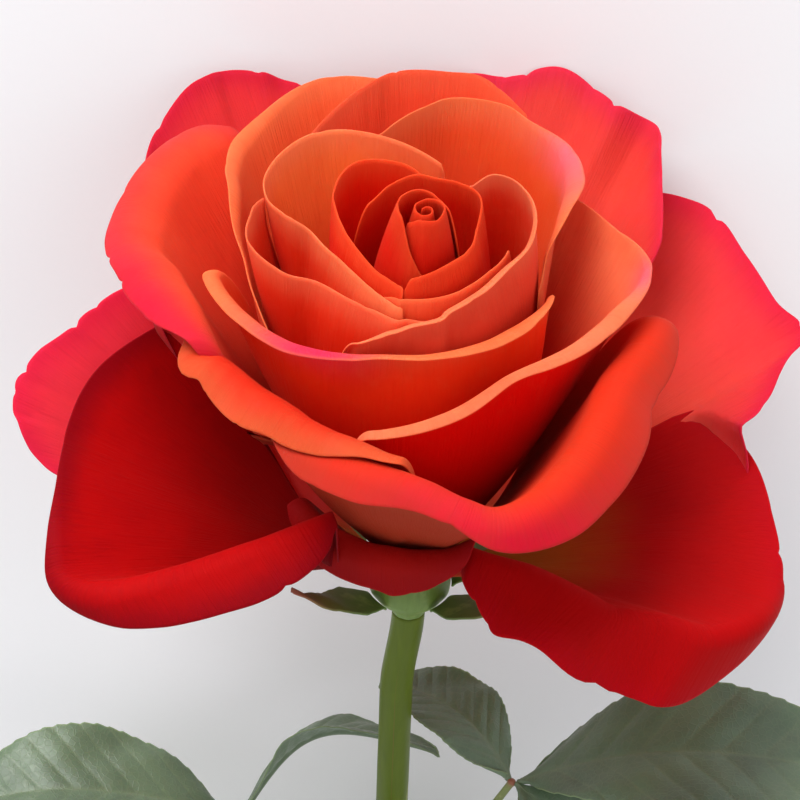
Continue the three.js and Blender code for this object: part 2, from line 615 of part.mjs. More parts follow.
rose.rotation.x = -Math.PI / 2 + tipToRest();
rose.updateMatrixWorld(true);
const bounds = new THREE.Box3().setFromObject(rose, true);
rose.position.set(
  -(bounds.min.x + bounds.max.x) / 2,
  -(bounds.min.y + bounds.max.y) / 2,
  -bounds.min.z,
);

export default rose;
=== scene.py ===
"""A cut garden rose lying on a pale floor: petals, hip, sepals, prickly stem and two compound leaves."""

import math

import bpy
import numpy as np
from mathutils import Matrix, Vector


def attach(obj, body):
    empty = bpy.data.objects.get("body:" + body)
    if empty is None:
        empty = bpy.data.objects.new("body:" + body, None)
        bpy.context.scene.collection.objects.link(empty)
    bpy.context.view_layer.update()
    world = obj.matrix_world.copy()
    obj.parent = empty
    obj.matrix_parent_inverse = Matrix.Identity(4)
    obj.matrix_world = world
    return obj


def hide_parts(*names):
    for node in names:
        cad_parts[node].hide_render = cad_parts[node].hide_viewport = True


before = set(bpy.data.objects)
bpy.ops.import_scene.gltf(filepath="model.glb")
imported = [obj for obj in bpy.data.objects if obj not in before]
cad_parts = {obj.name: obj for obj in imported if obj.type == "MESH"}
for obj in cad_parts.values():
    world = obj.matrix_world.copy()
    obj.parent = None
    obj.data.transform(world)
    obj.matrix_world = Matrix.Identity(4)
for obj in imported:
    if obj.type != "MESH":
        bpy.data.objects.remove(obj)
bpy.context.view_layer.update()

bl_info = {
    "name": "Cut Rose",
    "version": (1, 0, 0),
    "blender": (4, 5, 0),
    "location": "3D View > Sidebar > Rose",
    "description": "Builds a cut rose that lies on its side, petal by petal, with its stage",
    "category": "Add Mesh",
}

# ---- the bloom's own frame ----------------------------------------------------------------------
# The flower is worked out upright in millimetres: x to its right, y to its back, z up the bloom's
# axis, origin at the petals' base. A bearing is degrees round the axis: 0 is the front, which faces
# up when the rose lies down, and 90 is the right. lay_down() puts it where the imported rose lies.
MM = 0.001
RAD = math.pi / 180
STEM_DIAMETER = 5.4
STEM_LENGTH = 250.0
HIP_FOOT = 13.0               # where the hip meets the stem, below the origin
FIT_GAP = 0.35                # between the hip's foot and the stem
HIP_RADIUS = 6.5
BASE_DEPTH = 6.0              # the petals' common centre, below the origin
BASE_RADIUS = 7.0             # ball on which the petals root
END_BAND = 3.0                # longer than a tilted end ring of the stem


def node_points(name):
    """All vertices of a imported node, in mm."""
    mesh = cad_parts[name].data
    points = np.empty(len(mesh.vertices) * 3)
    mesh.vertices.foreach_get("co", points)
    return points.reshape(-1, 3) / MM


def resting_place():
    """The bloom's axes as rows (right, back, up) and its origin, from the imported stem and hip.

    The stem's two end rings give the tilt of the axis, and the hip's box its place from side to side."""
    stem = node_points("stem")
    ends = []
    for low in (True, False):
        edge = stem[:, 1].min() if low else stem[:, 1].max()
        ring = stem[np.abs(stem[:, 1] - edge) < END_BAND]
        ends.append((ring.min(0) + ring.max(0)) / 2)
    rise = ends[1] - ends[0]
    tilt = math.atan2(rise[2], rise[1])
    axis = np.array([0.0, math.cos(tilt), math.sin(tilt)])
    back = np.array([0.0, math.sin(tilt), -math.cos(tilt)])
    hip = node_points("hip")
    origin = ends[1] + axis * (HIP_FOOT + FIT_GAP)
    origin[0] = (hip[:, 0].min() + hip[:, 0].max()) / 2
    return np.array([[1.0, 0.0, 0.0], back, axis]), origin


AXES, ORIGIN = resting_place()


def lay_down(points):
    """Bloom frame in mm to row frame in metres."""
    return (np.asarray(points) @ AXES + ORIGIN) * MM


def turn_down(vector):
    """A direction of the bloom frame, in the row frame."""
    return Vector(np.asarray(vector, float) @ AXES)


# ---- arrays -------------------------------------------------------------------------------------
def smooth_step(x):
    """3x^2 - 2x^3 between 0 and 1, and level beyond."""
    s = np.clip(x, 0.0, 1.0)
    return s * s * (3.0 - 2.0 * s)


def unit(vectors):
    """Vectors over their lengths."""
    return vectors / np.maximum(np.linalg.norm(vectors, axis=-1, keepdims=True), 1e-9)


def through(values, t):
    """Catmull-Rom curve through evenly spaced rows of values, at t counted in rows."""
    values = np.asarray(values, float)
    last = len(values) - 1
    t = np.clip(t, 0.0, last - 1e-9)
    i = np.floor(t).astype(int)
    f = t - i
    if values.ndim > 1:
        f = f[..., None]
        first_span, last_span = (i == 0)[..., None], (i == last - 1)[..., None]
    else:
        first_span, last_span = i == 0, i == last - 1
    b, c = values[i], values[i + 1]
    a = np.where(first_span, 2 * b - c, values[np.maximum(i - 1, 0)])
    d = np.where(last_span, 2 * c - b, values[np.minimum(i + 2, last)])
    return b + 0.5 * f * (c - a + f * (2 * a - 5 * b + 4 * c - d + f * (3 * (b - c) + d - a)))


def wave(t, seed, count=4, first=1.0):
    """Smooth wandering line between about -1 and 1: a sum of sines whose phases come from the seed."""
    draw = np.random.default_rng(seed)
    total = np.zeros_like(t)
    for k in range(count):
        turns = first * (k + 1) * draw.uniform(0.75, 1.25)
        total = total + np.sin(2 * math.pi * (turns * t + draw.uniform())) / (1 + 0.6 * k)
    return total / 1.8


def nicks(t, seed, count=6):
    """Torn nicks in a margin: peaks up to 1 high, each falling off exponentially to both sides."""
    draw = np.random.default_rng(seed)
    total = np.zeros_like(t)
    for _ in range(count):
        at = draw.uniform(0.03, 0.97)
        wide = draw.uniform(0.004, 0.014)
        high = draw.uniform(0.1, 1.0) ** 2
        total = np.maximum(total, high * np.exp(-np.abs(t - at) / wide))
    return total


def place(bearing, distance, lean):
    """Points from bearing and lean (degrees) and distance from the petals' common centre."""
    reach = distance * np.sin(lean * RAD)
    x = reach * np.sin(bearing * RAD)
    y = -reach * np.cos(bearing * RAD)
    return np.stack([x, y, distance * np.cos(lean * RAD) - BASE_DEPTH], -1)


def placing(points):
    """The bearing, distance and lean of points: place() undone."""
    reach = np.hypot(points[..., 0], points[..., 1])
    rise = points[..., 2] + BASE_DEPTH
    bearing = np.degrees(np.arctan2(points[..., 0], -points[..., 1]))
    return bearing, np.hypot(reach, rise), np.degrees(np.arctan2(reach, rise))


def finer(grid, across, along):
    """The grid with each cell cut into across by along smaller ones, in straight lines."""
    rows, columns = grid.shape[:2]
    s = np.linspace(0, rows - 1, (rows - 1) * across + 1)
    t = np.linspace(0, columns - 1, (columns - 1) * along + 1)
    i = np.minimum(s.astype(int), rows - 2)
    j = np.minimum(t.astype(int), columns - 2)
    fs = (s - i)[:, None, None]
    ft = (t - j)[None, :, None]
    near = grid[i][:, j] * (1 - ft) + grid[i][:, j + 1] * ft
    far = grid[i + 1][:, j] * (1 - ft) + grid[i + 1][:, j + 1] * ft
    return near * (1 - fs) + far * fs


def normals_of(grid):
    """Unit normals of a grid of points: steps across it crossed with steps along it."""
    return unit(np.cross(np.gradient(grid, axis=0), np.gradient(grid, axis=1)))


def columns_of(*values):
    """Values side by side, a single number repeated down its column."""
    return np.stack(np.broadcast_arrays(*values), 1)


def circle(count):
    """The angles of count points evenly round a circle."""
    return np.arange(count) * 2 * math.pi / count


# ---- meshes -------------------------------------------------------------------------------------
def make_piece(name, points, faces, node, material, uv, marks):
    """A piece of the rose from points (bloom frame, mm) and quads, riding on the root body. uv and
    marks hold two and three numbers for each point, for its material to read."""
    mesh = bpy.data.meshes.new(name)
    mesh.vertices.add(len(points))
    mesh.vertices.foreach_set("co", lay_down(points).astype(np.float32).ravel())
    faces = np.asarray(faces, np.int32)
    mesh.loops.add(faces.size)
    mesh.loops.foreach_set("vertex_index", faces.ravel())
    mesh.polygons.add(len(faces))
    mesh.polygons.foreach_set("loop_start", np.arange(0, faces.size, 4, dtype=np.int32))
    mesh.update(calc_edges=True)
    mesh.polygons.foreach_set("use_smooth", np.ones(len(faces), bool))
    layer = mesh.uv_layers.new(name="surface")
    layer.data.foreach_set("uv", uv[faces.ravel()].astype(np.float32).ravel())
    attribute = mesh.attributes.new("marks", "FLOAT_COLOR", "POINT")
    with_alpha = np.concatenate([marks, np.ones((len(marks), 1))], 1)
    attribute.data.foreach_set("color", with_alpha.astype(np.float32).ravel())
    mesh.validate()
    piece = bpy.data.objects.new(name, mesh)
    bpy.context.scene.collection.objects.link(piece)
    mesh.materials.append(material)
    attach(piece, "root")
    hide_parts(node)


def grid_faces(rows, columns, start=0, flip=False):
    """Quads of a rows x columns grid whose points are numbered column by column from start."""
    i = np.arange(rows - 1)[:, None]
    j = np.arange(columns - 1)[None, :]
    a = (start + i * columns + j).ravel()
    quads = np.stack([a, a + columns, a + columns + 1, a + 1], 1)
    return quads[:, ::-1] if flip else quads


def sheet(grid, thickness, edge=0.4):
    """A closed sheet about a grid: both faces half a thickness off it along its normals, and a
    round edge whose middle stands out by the edge share of the thickness. Returns points, quads
    and, for each point, its row, column and side: 1 on the face that the grid's normals leave by,
    0 on the other and 0.5 on the edge."""
    rows, columns = grid.shape[:2]
    normal = normals_of(grid)
    thickness = np.broadcast_to(thickness, grid.shape[:2])[..., None]
    upper = grid + normal * thickness / 2
    lower = grid - normal * thickness / 2
    count = rows * columns
    index = np.arange(count).reshape(rows, columns)
    loop = np.concatenate([index[:-1, 0], index[-1, :-1], index[:0:-1, -1], index[0, :0:-1]])
    inner = np.concatenate([index[:-1, 1], index[-2, :-1], index[:0:-1, -2], index[1, :0:-1]])
    flat = grid.reshape(-1, 3)
    outward = unit(flat[loop] - flat[inner])
    rim = flat[loop] + outward * thickness.reshape(-1, 1)[loop] * edge
    points = np.concatenate([upper.reshape(-1, 3), lower.reshape(-1, 3), rim])
    ring = np.arange(len(loop))
    after = np.roll(ring, -1)
    middle = 2 * count + ring
    middle_after = 2 * count + after
    quads = [
        grid_faces(rows, columns),
        grid_faces(rows, columns, count, flip=True),
        columns_of(loop, middle, middle_after, loop[after]),
        columns_of(middle, count + loop, count + loop[after], middle_after),
    ]
    source = np.concatenate([np.arange(count), np.arange(count), loop])
    side = np.concatenate([np.ones(count), np.zeros(count), np.full(len(loop), 0.5)])
    return points, np.concatenate(quads), source // columns, source % columns, side


def closed_rings(grid):
    """Points and quads of rings that close on themselves, with a fan of quads over each end."""
    rings, around = grid.shape[:2]
    i = np.arange(rings - 1)[:, None]
    k = np.arange(around)[None, :]
    a = (i * around + k).ravel()
    b = (i * around + (k + 1) % around).ravel()
    quads = np.stack([a, a + around, b + around, b], 1)
    centres = np.stack([grid[0].mean(0), grid[-1].mean(0)])
    top, foot = rings * around, rings * around + 1
    k = np.arange(0, around, 2)
    caps = columns_of(top, k, k + 1, (k + 2) % around)
    last = (rings - 1) * around
    caps_foot = columns_of(foot, last + (k + 2) % around, last + k + 1, last + k)
    points = np.concatenate([grid.reshape(-1, 3), centres])
    return points, np.concatenate([quads, caps, caps_foot])


def facing_out(grid):
    """The rings, turned the other way round if closed_rings() would make them look inwards."""
    a, b = grid[1, 0], grid[1, 1]
    normal = np.cross(grid[2, 0] - a, b - a)
    looks_in = normal @ (a - grid[1].mean(0)) < 0
    return grid[:, ::-1] if looks_in else grid


def ring_numbers(points, around):
    """The ring that each point of closed_rings() is on, the two end centres counting as one more."""
    return np.arange(len(points)) // around


def ring_uv(points, around, rings):
    """A surface map of closed_rings(): the share of a turn, and the ring's number over rings."""
    return columns_of(np.arange(len(points)) % around / around, ring_numbers(points, around) / rings)


# ---- shader expressions -------------------------------------------------------------------------
class Amount:
    """A number that changes over a surface; the operators on it add Math nodes."""

    def __init__(self, recipe, socket):
        self.recipe = recipe
        self.socket = socket

    def math(self, operation, *values, clamp=False):
        settings = {"operation": operation, "use_clamp": clamp}
        made = self.recipe.node("ShaderNodeMath", settings, dict(enumerate(values)))
        return Amount(self.recipe, made.outputs[0])

    def __add__(self, other):
        return self.math("ADD", self, other)

    __radd__ = __add__

    def __sub__(self, other):
        return self.math("SUBTRACT", self, other)

    def __rsub__(self, other):
        return self.math("SUBTRACT", other, self)

    def __mul__(self, other):
        return self.math("MULTIPLY", self, other)

    __rmul__ = __mul__

    def __pow__(self, other):
        return self.math("POWER", self, other)

    def sine(self):
        return self.math("SINE", self)

    def clamped(self):
        """Held between 0 and 1."""
        return self.math("ADD", self, 0.0, clamp=True)

    def between(self, low, high):
        """0 below low, 1 above high and a smooth step between them."""
        settings = {"interpolation_type": "SMOOTHSTEP"}
        made = self.recipe.node("ShaderNodeMapRange", settings, {0: self, 1: low, 2: high})
        return Amount(self.recipe, made.outputs[0])


def tone(code):
    """A colour written as hex sRGB, as linear RGBA."""
    values = [int(code[k:k + 2], 16) / 255 for k in (0, 2, 4)]
    return [v / 12.92 if v <= 0.04045 else ((v + 0.055) / 1.055) ** 2.4 for v in values] + [1.0]


def opaque(colour):
    """A linear RGB colour with a full alpha."""
    return [*colour, 1.0]


def scaled(colour, red, green, blue):
    """A linear colour with each of its parts multiplied by a share."""
    return [colour[0] * red, colour[1] * green, colour[2] * blue, 1.0]


class Recipe:
    """A material in the making: a Principled shader and the nodes that feed it."""

    def __init__(self, name, **constants):
        self.material = bpy.data.materials.new(name)
        self.material.use_nodes = True
        self.tree = self.material.node_tree
        self.shader = self.tree.nodes["Principled BSDF"]
        for key, value in constants.items():
            self.shader.inputs[key.replace("_", " ")].default_value = value

    def feed(self, socket, value):
        """Link a value that changes over the surface, or set a constant."""
        if isinstance(value, Amount):
            value = value.socket
        if isinstance(value, bpy.types.NodeSocket):
            self.tree.links.new(value, socket)
        else:
            socket.default_value = value

    def node(self, kind, settings=None, inputs=None):
        """A node of a kind, with its settings made first and then its sockets fed."""
        made = self.tree.nodes.new(kind)
        for key, value in (settings or {}).items():
            setattr(made, key, value)
        for key, value in (inputs or {}).items():
            self.feed(made.inputs[key], value)
        return made

    def parts(self, vector):
        """A vector's three numbers."""
        made = self.node("ShaderNodeSeparateXYZ", None, {0: vector})
        return [Amount(self, socket) for socket in made.outputs]

    def coordinates(self):
        """The point itself, in metres."""
        return self.node("ShaderNodeTexCoord").outputs["Object"]

    def surface(self):
        """The piece's own UV map: across it and along it."""
        return self.parts(self.node("ShaderNodeUVMap", {"uv_map": "surface"}).outputs[0])[:2]

    def marks(self):
        """The three numbers kept for each point of the piece."""
        return self.parts(self.node("ShaderNodeAttribute", {"attribute_name": "marks"}).outputs["Vector"])

    def stretched(self, vector, scale):
        """A vector with each part multiplied, so that a pattern on it is drawn out."""
        inputs = {0: vector, 1: scale}
        return self.node("ShaderNodeVectorMath", {"operation": "MULTIPLY"}, inputs).outputs[0]

    def joined(self, x, y):
        """Two numbers as a vector in the plane."""
        return self.node("ShaderNodeCombineXYZ", None, {0: x, 1: y}).outputs[0]

    def noise(self, vector, scale, detail, roughness, distortion=0.0):
        """Cloudy noise about 0.5."""
        inputs = {"Vector": vector, "Scale": scale, "Detail": detail, "Roughness": roughness,
                  "Distortion": distortion}
        return Amount(self, self.node("ShaderNodeTexNoise", None, inputs).outputs[0])

    def cells(self, vector, scale, feature):
        """Voronoi cells: the distance to a cell's point, or with DISTANCE_TO_EDGE to its border."""
        inputs = {"Vector": vector, "Scale": scale}
        made = self.node("ShaderNodeTexVoronoi", {"feature": feature}, inputs)
        return Amount(self, made.outputs["Distance"])

    def mix(self, factor, first, second):
        """The first colour, with the factor's share of the second over it."""
        inputs = {0: factor, 6: first, 7: second}
        return self.node("ShaderNodeMix", {"data_type": "RGBA"}, inputs).outputs[2]

    def relief(self, height, distance, strength):
        """Bumps of a height from 0 to 1, distance metres tall, fed to the shader's Normal."""
        inputs = {"Height": height, "Distance": distance, "Strength": strength}
        made = self.node("ShaderNodeBump", None, inputs)
        self.feed(self.shader.inputs["Normal"], made.outputs[0])

    def set(self, **sockets):
        """Feed the shader's sockets, named with _ for a space."""
        for key, value in sockets.items():
            self.feed(self.shader.inputs[key.replace("_", " ")], value)


# ---- petals -------------------------------------------------------------------------------------
# Each petal's rim is a smooth curve through points [bearing, reach, height]: degrees, mm from the
# axis and mm above the base. The other entries are:
#   colours  the inner face, the margin and the outer face
#   blush    a deeper colour on the margin, the bearing where it is strongest and its width in degrees
#   warm     the colour of the throat, where it isn't the deep red of painted shade
#   throat   how strong the throat's colour is, from 0 to 1; its deep red is painted shade deep in the bloom
#   claw     how far up the petal its yellow foot reaches, as a share of its length
#   cup      how far the petal bulges outwards, in degrees
#   root     the lean at its root, in degrees
#   ripple   how far its rim waves in and out, in degrees
#   corner   the rounded corner beyond each end of the rim, as a share of the rim
#   torn     the depth of the margin's deepest nick, in mm
#   roll     how far the margin turns back beyond the rim, in mm, at even steps along it
#   curl     the radius that the margin turns round, in mm
#   turn     the most that it turns, in degrees
#   scroll   True where the petal is wound up on itself and stands free of the others
PETALS = {
    "petal_bud_core": dict(scroll=True, cup=3, colours=("df1b06", "e74721", "df1e06"),
        rim=[[-70, 2.4, 63], [-29, 2.6, 64.4], [1, 2.8, 65], [37, 2.8, 64.8], [70, 2.7, 65.2],
             [110, 2.3, 65.5], [160, 2.0, 65.4], [220, 1.75, 65.1], [290, 1.5, 64.9], [360, 1.25, 64.8],
             [430, 1.0, 64.9], [500, 0.75, 64.8], [580, 0.45, 64.6]]),
    "petal_bud_wrap": dict(cup=5, colours=("e32309", "e74d23", "e1230b"),
        rim=[[-260, 1.8, 64.5], [-215, 2.6, 65.4], [-165, 3.2, 66], [-120, 3.5, 66], [-85, 3.7, 65.6],
             [-55, 4.0, 64.5], [-35, 4.3, 62.5], [-18, 4.8, 60], [-2, 5.3, 57.5]]),
    "petal_ring": dict(cup=6, colours=("df2006", "e84d23", "e2250b"),
        rim=[[-137, 11, 60], [-154, 11, 62], [-173, 10, 64], [-195, 9, 64], [-228, 10, 63],
             [-262, 7.5, 60.5], [-320, 6.3, 59.5], [-371, 7.2, 58]]),
    "petal_heart": dict(cup=6, corner=0.03, colours=("f22407", "e95227", "f52709"),
        rim=[[-180, 13, 61], [-166, 16, 62], [-145, 18, 62], [-124, 16, 61], [-110, 13, 60],
             [-79, 9, 58.6], [-48, 7.8, 57.2], [-20, 7.6, 56.4]]),
    "petal_front_small": dict(cup=6, colours=("eb3c19", "ed6a3e", "ef3713"),
        rim=[[-62, 8, 52.5], [-38, 8.4, 54.8], [-10, 8.6, 55.6], [30, 8.8, 56], [65, 10, 57],
             [91, 12, 58]]),
    "petal_left_cup": dict(throat=0.6, cup=6, corner=0.03, colours=("f67334", "ee7b4d", "eb3713"),
        rim=[[-186, 20, 59], [-170, 24, 60], [-154, 29, 60], [-141, 30, 60], [-124, 28, 59],
             [-115, 25, 58], [-108, 20, 58], [-104, 16.5, 57], [-85, 12.2, 56.6], [-60, 10, 56],
             [-38, 9.2, 55.4], [-16, 8.8, 54.8]]),
    "petal_left_pocket": dict(cup=6, corner=0.03, colours=("eb3a16", "ee7149", "ef3714"),
        rim=[[-115, 26, 58], [-108, 26, 58], [-99, 25.6, 57], [-90, 23.5, 56], [-82, 19.5, 55],
             [-74, 15, 54.4], [-45, 11.6, 53.8], [-15, 10.4, 53.4], [14, 10.4, 53]]),
    "petal_right_lobe": dict(cup=6, roll=[0, 0, 0, 1, 2, 2.8, 3, 2.8, 1.5], curl=1.6,
        colours=("e73514", "f17a51", "ef4f32"),
        rim=[[148, 13, 61], [142, 16, 62], [132, 18, 61], [111, 17, 60], [94, 15, 58],
             [66, 11, 56], [20, 10, 53.6], [-17, 12, 51.6], [-35, 15.5, 49.6]]),
    "petal_back_inner": dict(cup=6, roll=[0, 0, 0, 0, 1, 3, 4, 3, 1, 0], curl=3,
        colours=("da4c20", "de6e40", "de623f"), blush=("ee6470", 140, 10),
        rim=[[-167, 30, 57], [-179, 35, 58], [-186, 38, 58], [-198, 39, 57.5], [-206, 36.5, 56.6],
             [-218, 33, 55.5], [-226, 29, 54.5], [-235, 24, 53.5], [-250, 19, 52], [-265, 16, 50.5]]),
    "petal_back_middle": dict(cup=5, colours=("da4123", "da5534", "d92917"),
        rim=[[-150, 37, 53], [-161, 42, 55], [-169, 46, 56], [-175, 49, 56], [-184, 49, 56],
             [-191, 48, 56], [-200, 44, 54]]),
    "petal_left_tall": dict(cup=5, roll=[0, 0, 1, 2, 3, 3, 3, 2, 1, 0], curl=3,
        colours=("ed592d", "eb7446", "ea472a"),
        rim=[[-174, 51, 52.5], [-164, 51.5, 53.5], [-158, 49.5, 53.5], [-147, 43.5, 53.5],
             [-137, 39.5, 52.8], [-129, 35.5, 52.8], [-123, 32.5, 52.8], [-113, 29, 51],
             [-101, 25.5, 49.5], [-81, 22, 45]]),
    "petal_front_smile": dict(cup=3, roll=[3, 3.4, 3.4, 3.2, 3, 3.6, 3.6, 0.5], curl=1.6,
        colours=("ee4b20", "ed7646", "ff3f11"), blush=("dc2450", -46, 22),
        rim=[[-93, 29, 50], [-74, 25, 50], [-53, 22, 50], [-34, 17, 49], [-14, 15, 49],
             [16, 14, 49], [54, 14, 49], [86, 18, 50]]),
    "petal_right_wrap": dict(throat=1.0, cup=3, roll=[0, 0, 1, 2, 4, 4, 4, 4, 3], curl=2,
        colours=("ef744d", "eb6f48", "f30f03"), blush=("ee5a66", 101, 6),
        rim=[[136, 33, 50], [123, 33, 50], [106, 33.5, 50], [99, 32, 49], [86, 26.5, 48],
             [60, 21, 47], [40, 19, 46], [17, 19.5, 44], [-15, 23, 42]]),
    "petal_left_large": dict(torn=0.8, throat=0.6, cup=2, roll=[2, 8, 9, 10, 11, 10, 5], curl=5.5,
        colours=("ea4629", "be3133", "e0321a"), blush=("e01a3c", -84, 22),
        rim=[[-141, 45, 50], [-132, 45, 50], [-109, 40, 50], [-101, 38, 50], [-92, 34, 50],
             [-81, 31, 48], [-72, 29.8, 45.6]]),
    "petal_left_strip": dict(cup=2, roll=[1, 6, 8.5, 9, 7.5, 5, 3], curl=3, turn=112,
        colours=("d12610", "cd5830", "d55028"), blush=("e85a64", -80, 4),
        rim=[[-77, 31.5, 45.7], [-69, 29.5, 45.3], [-58, 27.5, 44.5], [-44, 26, 43.5], [-30, 25.5, 42.8],
             [-16, 26, 42.4], [-4, 27.5, 42]]),
    "petal_front_vee": dict(torn=0.6, cup=1, roll=[0.5, 5, 9, 9.5, 8, 7, 9, 11, 12, 12, 10, 2],
        curl=3.6, turn=112,
        colours=("cd2c13", "b63224", "b95c34"), blush=("cc0c2c", 16, 22),
        rim=[[-46, 27.5, 40], [-34, 27, 40.3], [-20, 27, 40.8], [-7, 28.5, 41.4], [4, 31, 41.2],
             [12, 34.5, 41], [18, 36.5, 40.5], [27, 35, 40.5], [38, 32, 41], [54, 29, 42],
             [72, 27.5, 42.5], [94, 31.5, 43]]),
    "petal_front_tip": dict(cup=0, root=42, corner=0.03, roll=[3, 8, 9, 10, 8, 4, 0.5], curl=2.2,
        turn=140, colours=("a4110d", "9a0d14", "9e1111"),
        rim=[[-64, 17.5, 16], [-45, 16.5, 15], [-25, 15.5, 14], [-8, 15, 13.5], [8, 15, 13.5],
             [23, 15.5, 14.5], [33, 17, 16]]),
    "petal_lower_left": dict(torn=1.3, throat=0.3, cup=0, root=60, ripple=0.6, corner=0.03,
        roll=[0, 0, 0, 1, 2, 4, 9, 11, 11.5, 10, 3], curl=2.6, turn=115,
        colours=("ae0204", "7f000f", "780109"),
        rim=[[-112, 42, 30], [-98, 48, 28.5], [-86, 51, 26], [-75, 52.8, 24], [-67, 55, 21.5],
             [-60.5, 56, 18.5], [-56, 50.5, 18], [-52, 43, 19], [-48.5, 35.5, 20],
             [-43.5, 27, 20.5], [-37, 19.5, 21]]),
    "petal_lower_right": dict(torn=1.3, claw=0.72, throat=0.3, cup=0, root=60, ripple=0.6, corner=0.03,
        roll=[0, 0, 0, 1, 3, 8, 14, 15, 14, 14, 14, 10, 4], curl=2.5, turn=108,
        colours=("ad0205", "ad0110", "a30108"),
        rim=[[108, 46, 18], [99, 51, 16], [90, 53.5, 13.5], [82, 54.5, 11.5], [74, 55.5, 9.5],
             [66, 54.5, 10], [59, 50, 11], [55.5, 45, 12], [52, 38, 12], [51, 31, 12],
             [48, 24, 12], [41, 18.5, 12], [29, 13, 12]]),
    "petal_back_left": dict(torn=1.3, throat=0.9, warm="ea5638",
        cup=0, root=50, ripple=1.2, corner=0.04, colours=("d52e33", "c01433", "b31125"),
        rim=[[-112, 46, 36], [-125, 54, 43], [-131, 58, 44.5], [-138, 62, 47], [-145, 64.5, 49.5],
             [-150, 64.5, 50], [-155, 61.5, 50], [-161, 57.5, 50], [-168, 56, 49.5], [-178, 52, 47]]),
    "petal_back_right": dict(torn=1.3, throat=0.9, warm="ee5c3c",
        cup=0, root=54, ripple=1.2, corner=0.04, colours=("dc3c36", "d12244", "c3192b"),
        rim=[[204, 46, 42], [188, 54, 47], [174, 58.5, 50], [166, 61, 50], [159, 64.5, 49.5],
             [151, 62, 47.5], [145, 64.5, 44.3], [138, 56, 43.5], [130, 48, 40]]),
    "petal_far_right": dict(torn=1.3, throat=0.9, warm="ee5840",
        cup=0, root=64, ripple=1.0, corner=0.05, colours=("d73439", "cc173b", "c31627"),
        rim=[[158, 50, 30], [146, 62, 33], [136, 66, 33], [126, 64, 30.5], [117, 63, 28],
             [111, 65, 26.5], [106, 59, 25.5], [99, 52, 24], [92, 45, 23], [85, 39, 22]]),
    "petal_far_left": dict(torn=1.3, throat=0.9, warm="ea4640",
        cup=0, root=64, ripple=1.0, corner=0.05, colours=("eb3144", "db1f44", "b0061c"),
        rim=[[-128, 38, 32], [-116, 49, 33], [-106, 54, 31], [-100, 58, 29], [-95, 61, 26],
             [-91, 60, 22], [-87, 56, 17], [-82, 46, 15]]),
}
CLAW_SHARE = 0.32             # width of the petal's root against its rim, in degrees of bearing
CLAW_LENGTH = 0.55            # share of the petal's length over which it widens to its full width
CORNER_SHARE = 0.07           # the usual rounded corner, as a share of the rim
CORNER_DROP = 0.3             # how far the rim falls at that corner, as a share of the petal's length
RIPPLE = 0.22                 # the usual ripple, degrees
TORN = 0.25                   # the usual depth of the deepest nick, mm
SMALLEST_ROLL = 0.4           # mm that every rolled margin keeps
FULLEST_TURN = 150            # degrees that a margin may turn back where the petal sets no other
SLACK = 0.25                  # degrees over which a petal eases off the ones inside it
INNER_ROOT = 8.0              # lean of the innermost petal at its root, degrees
ROOT_STEP = 42.0              # how much further the outermost leans there
SCROLL_ROOTS = (1.6, 0.4)     # a scroll's lean at its root, outside and inside, as shares of the usual
ROOT_THICKNESS = 1.5          # a petal's thickness at its root, as a share of the setting
MARGIN_THICKNESS = 0.8        # and from its rim on
PETAL_SEED = 100
PETAL_EDGE = 25               # mm over which the margin's mark runs from 0 to 1
SIDE_EDGE = 1.5               # mm by which a petal's sides count as further from the margin


class Cover:
    """The outermost lean taken so far, over bearing and distance: later petals lie outside it."""

    bearings = 360                # cells round the axis
    distances = 110               # cells outwards
    nearest = 5.0                 # mm from the petals' common centre to the first cell
    step = 0.75                   # mm from cell to cell

    def __init__(self):
        self.lean = np.zeros((self.bearings, self.distances))
        self.soft = self.lean

    def cell(self, bearing, distance):
        """Where a bearing and distance fall, counted in cells."""
        return bearing / 360 * self.bearings, (distance - self.nearest) / self.step

    def soften(self):
        """The cover spread by one cell each way, then smoothed by repeated means of three."""
        lean = self.lean
        lean = np.maximum(np.maximum(np.roll(lean, 1, 0), np.roll(lean, -1, 0)), lean)
        wide = np.pad(lean, ((0, 0), (1, 1)), mode="edge")
        lean = np.maximum(np.maximum(wide[:, :-2], wide[:, 2:]), lean)
        for _ in range(6):
            lean = (np.roll(lean, 1, 0) + lean + np.roll(lean, -1, 0)) / 3
            wide = np.pad(lean, ((0, 0), (1, 1)), mode="edge")
            lean = (wide[:, :-2] + wide[:, 1:-1] + wide[:, 2:]) / 3
        self.soft = lean

    def taken(self, bearing, distance):
        """The cover's lean, read between its cells in straight lines."""
        x, y = self.cell(bearing, distance)
        y = np.clip(y, 0, self.distances - 1.001)
        i, j = np.floor(x).astype(int), np.floor(y).astype(int)
        fx, fy = x - i, y - j
        i, i_next = i % self.bearings, (i + 1) % self.bearings
        near = self.soft[i, j] * (1 - fx) + self.soft[i_next, j] * fx
        far = self.soft[i, j + 1] * (1 - fx) + self.soft[i_next, j + 1] * fx
        return near * (1 - fy) + far * fy

    def press_out(self, bearing, distance, lean, gap):
        """The lean, never less than the cover's plus the gap, with a soft corner between the two."""
        limit = self.taken(bearing, distance) + gap / distance / RAD
        spare = (lean - limit) / SLACK
        eased = np.where(spare > 20, spare, np.log1p(np.exp(np.minimum(spare, 20))))
        return limit + SLACK * eased

    def lay(self, grid):
        """Take the room of a grid of points: each cell keeps the largest lean of the points in it."""
        bearing, distance, lean = placing(finer(grid, 2, 2))
        x, y = self.cell(bearing, distance)
        i = np.rint(x).astype(int) % self.bearings
        j = np.clip(np.rint(y).astype(int), 0, self.distances - 1)
        np.maximum.at(self.lean, (i.ravel(), j.ravel()), lean.ravel())


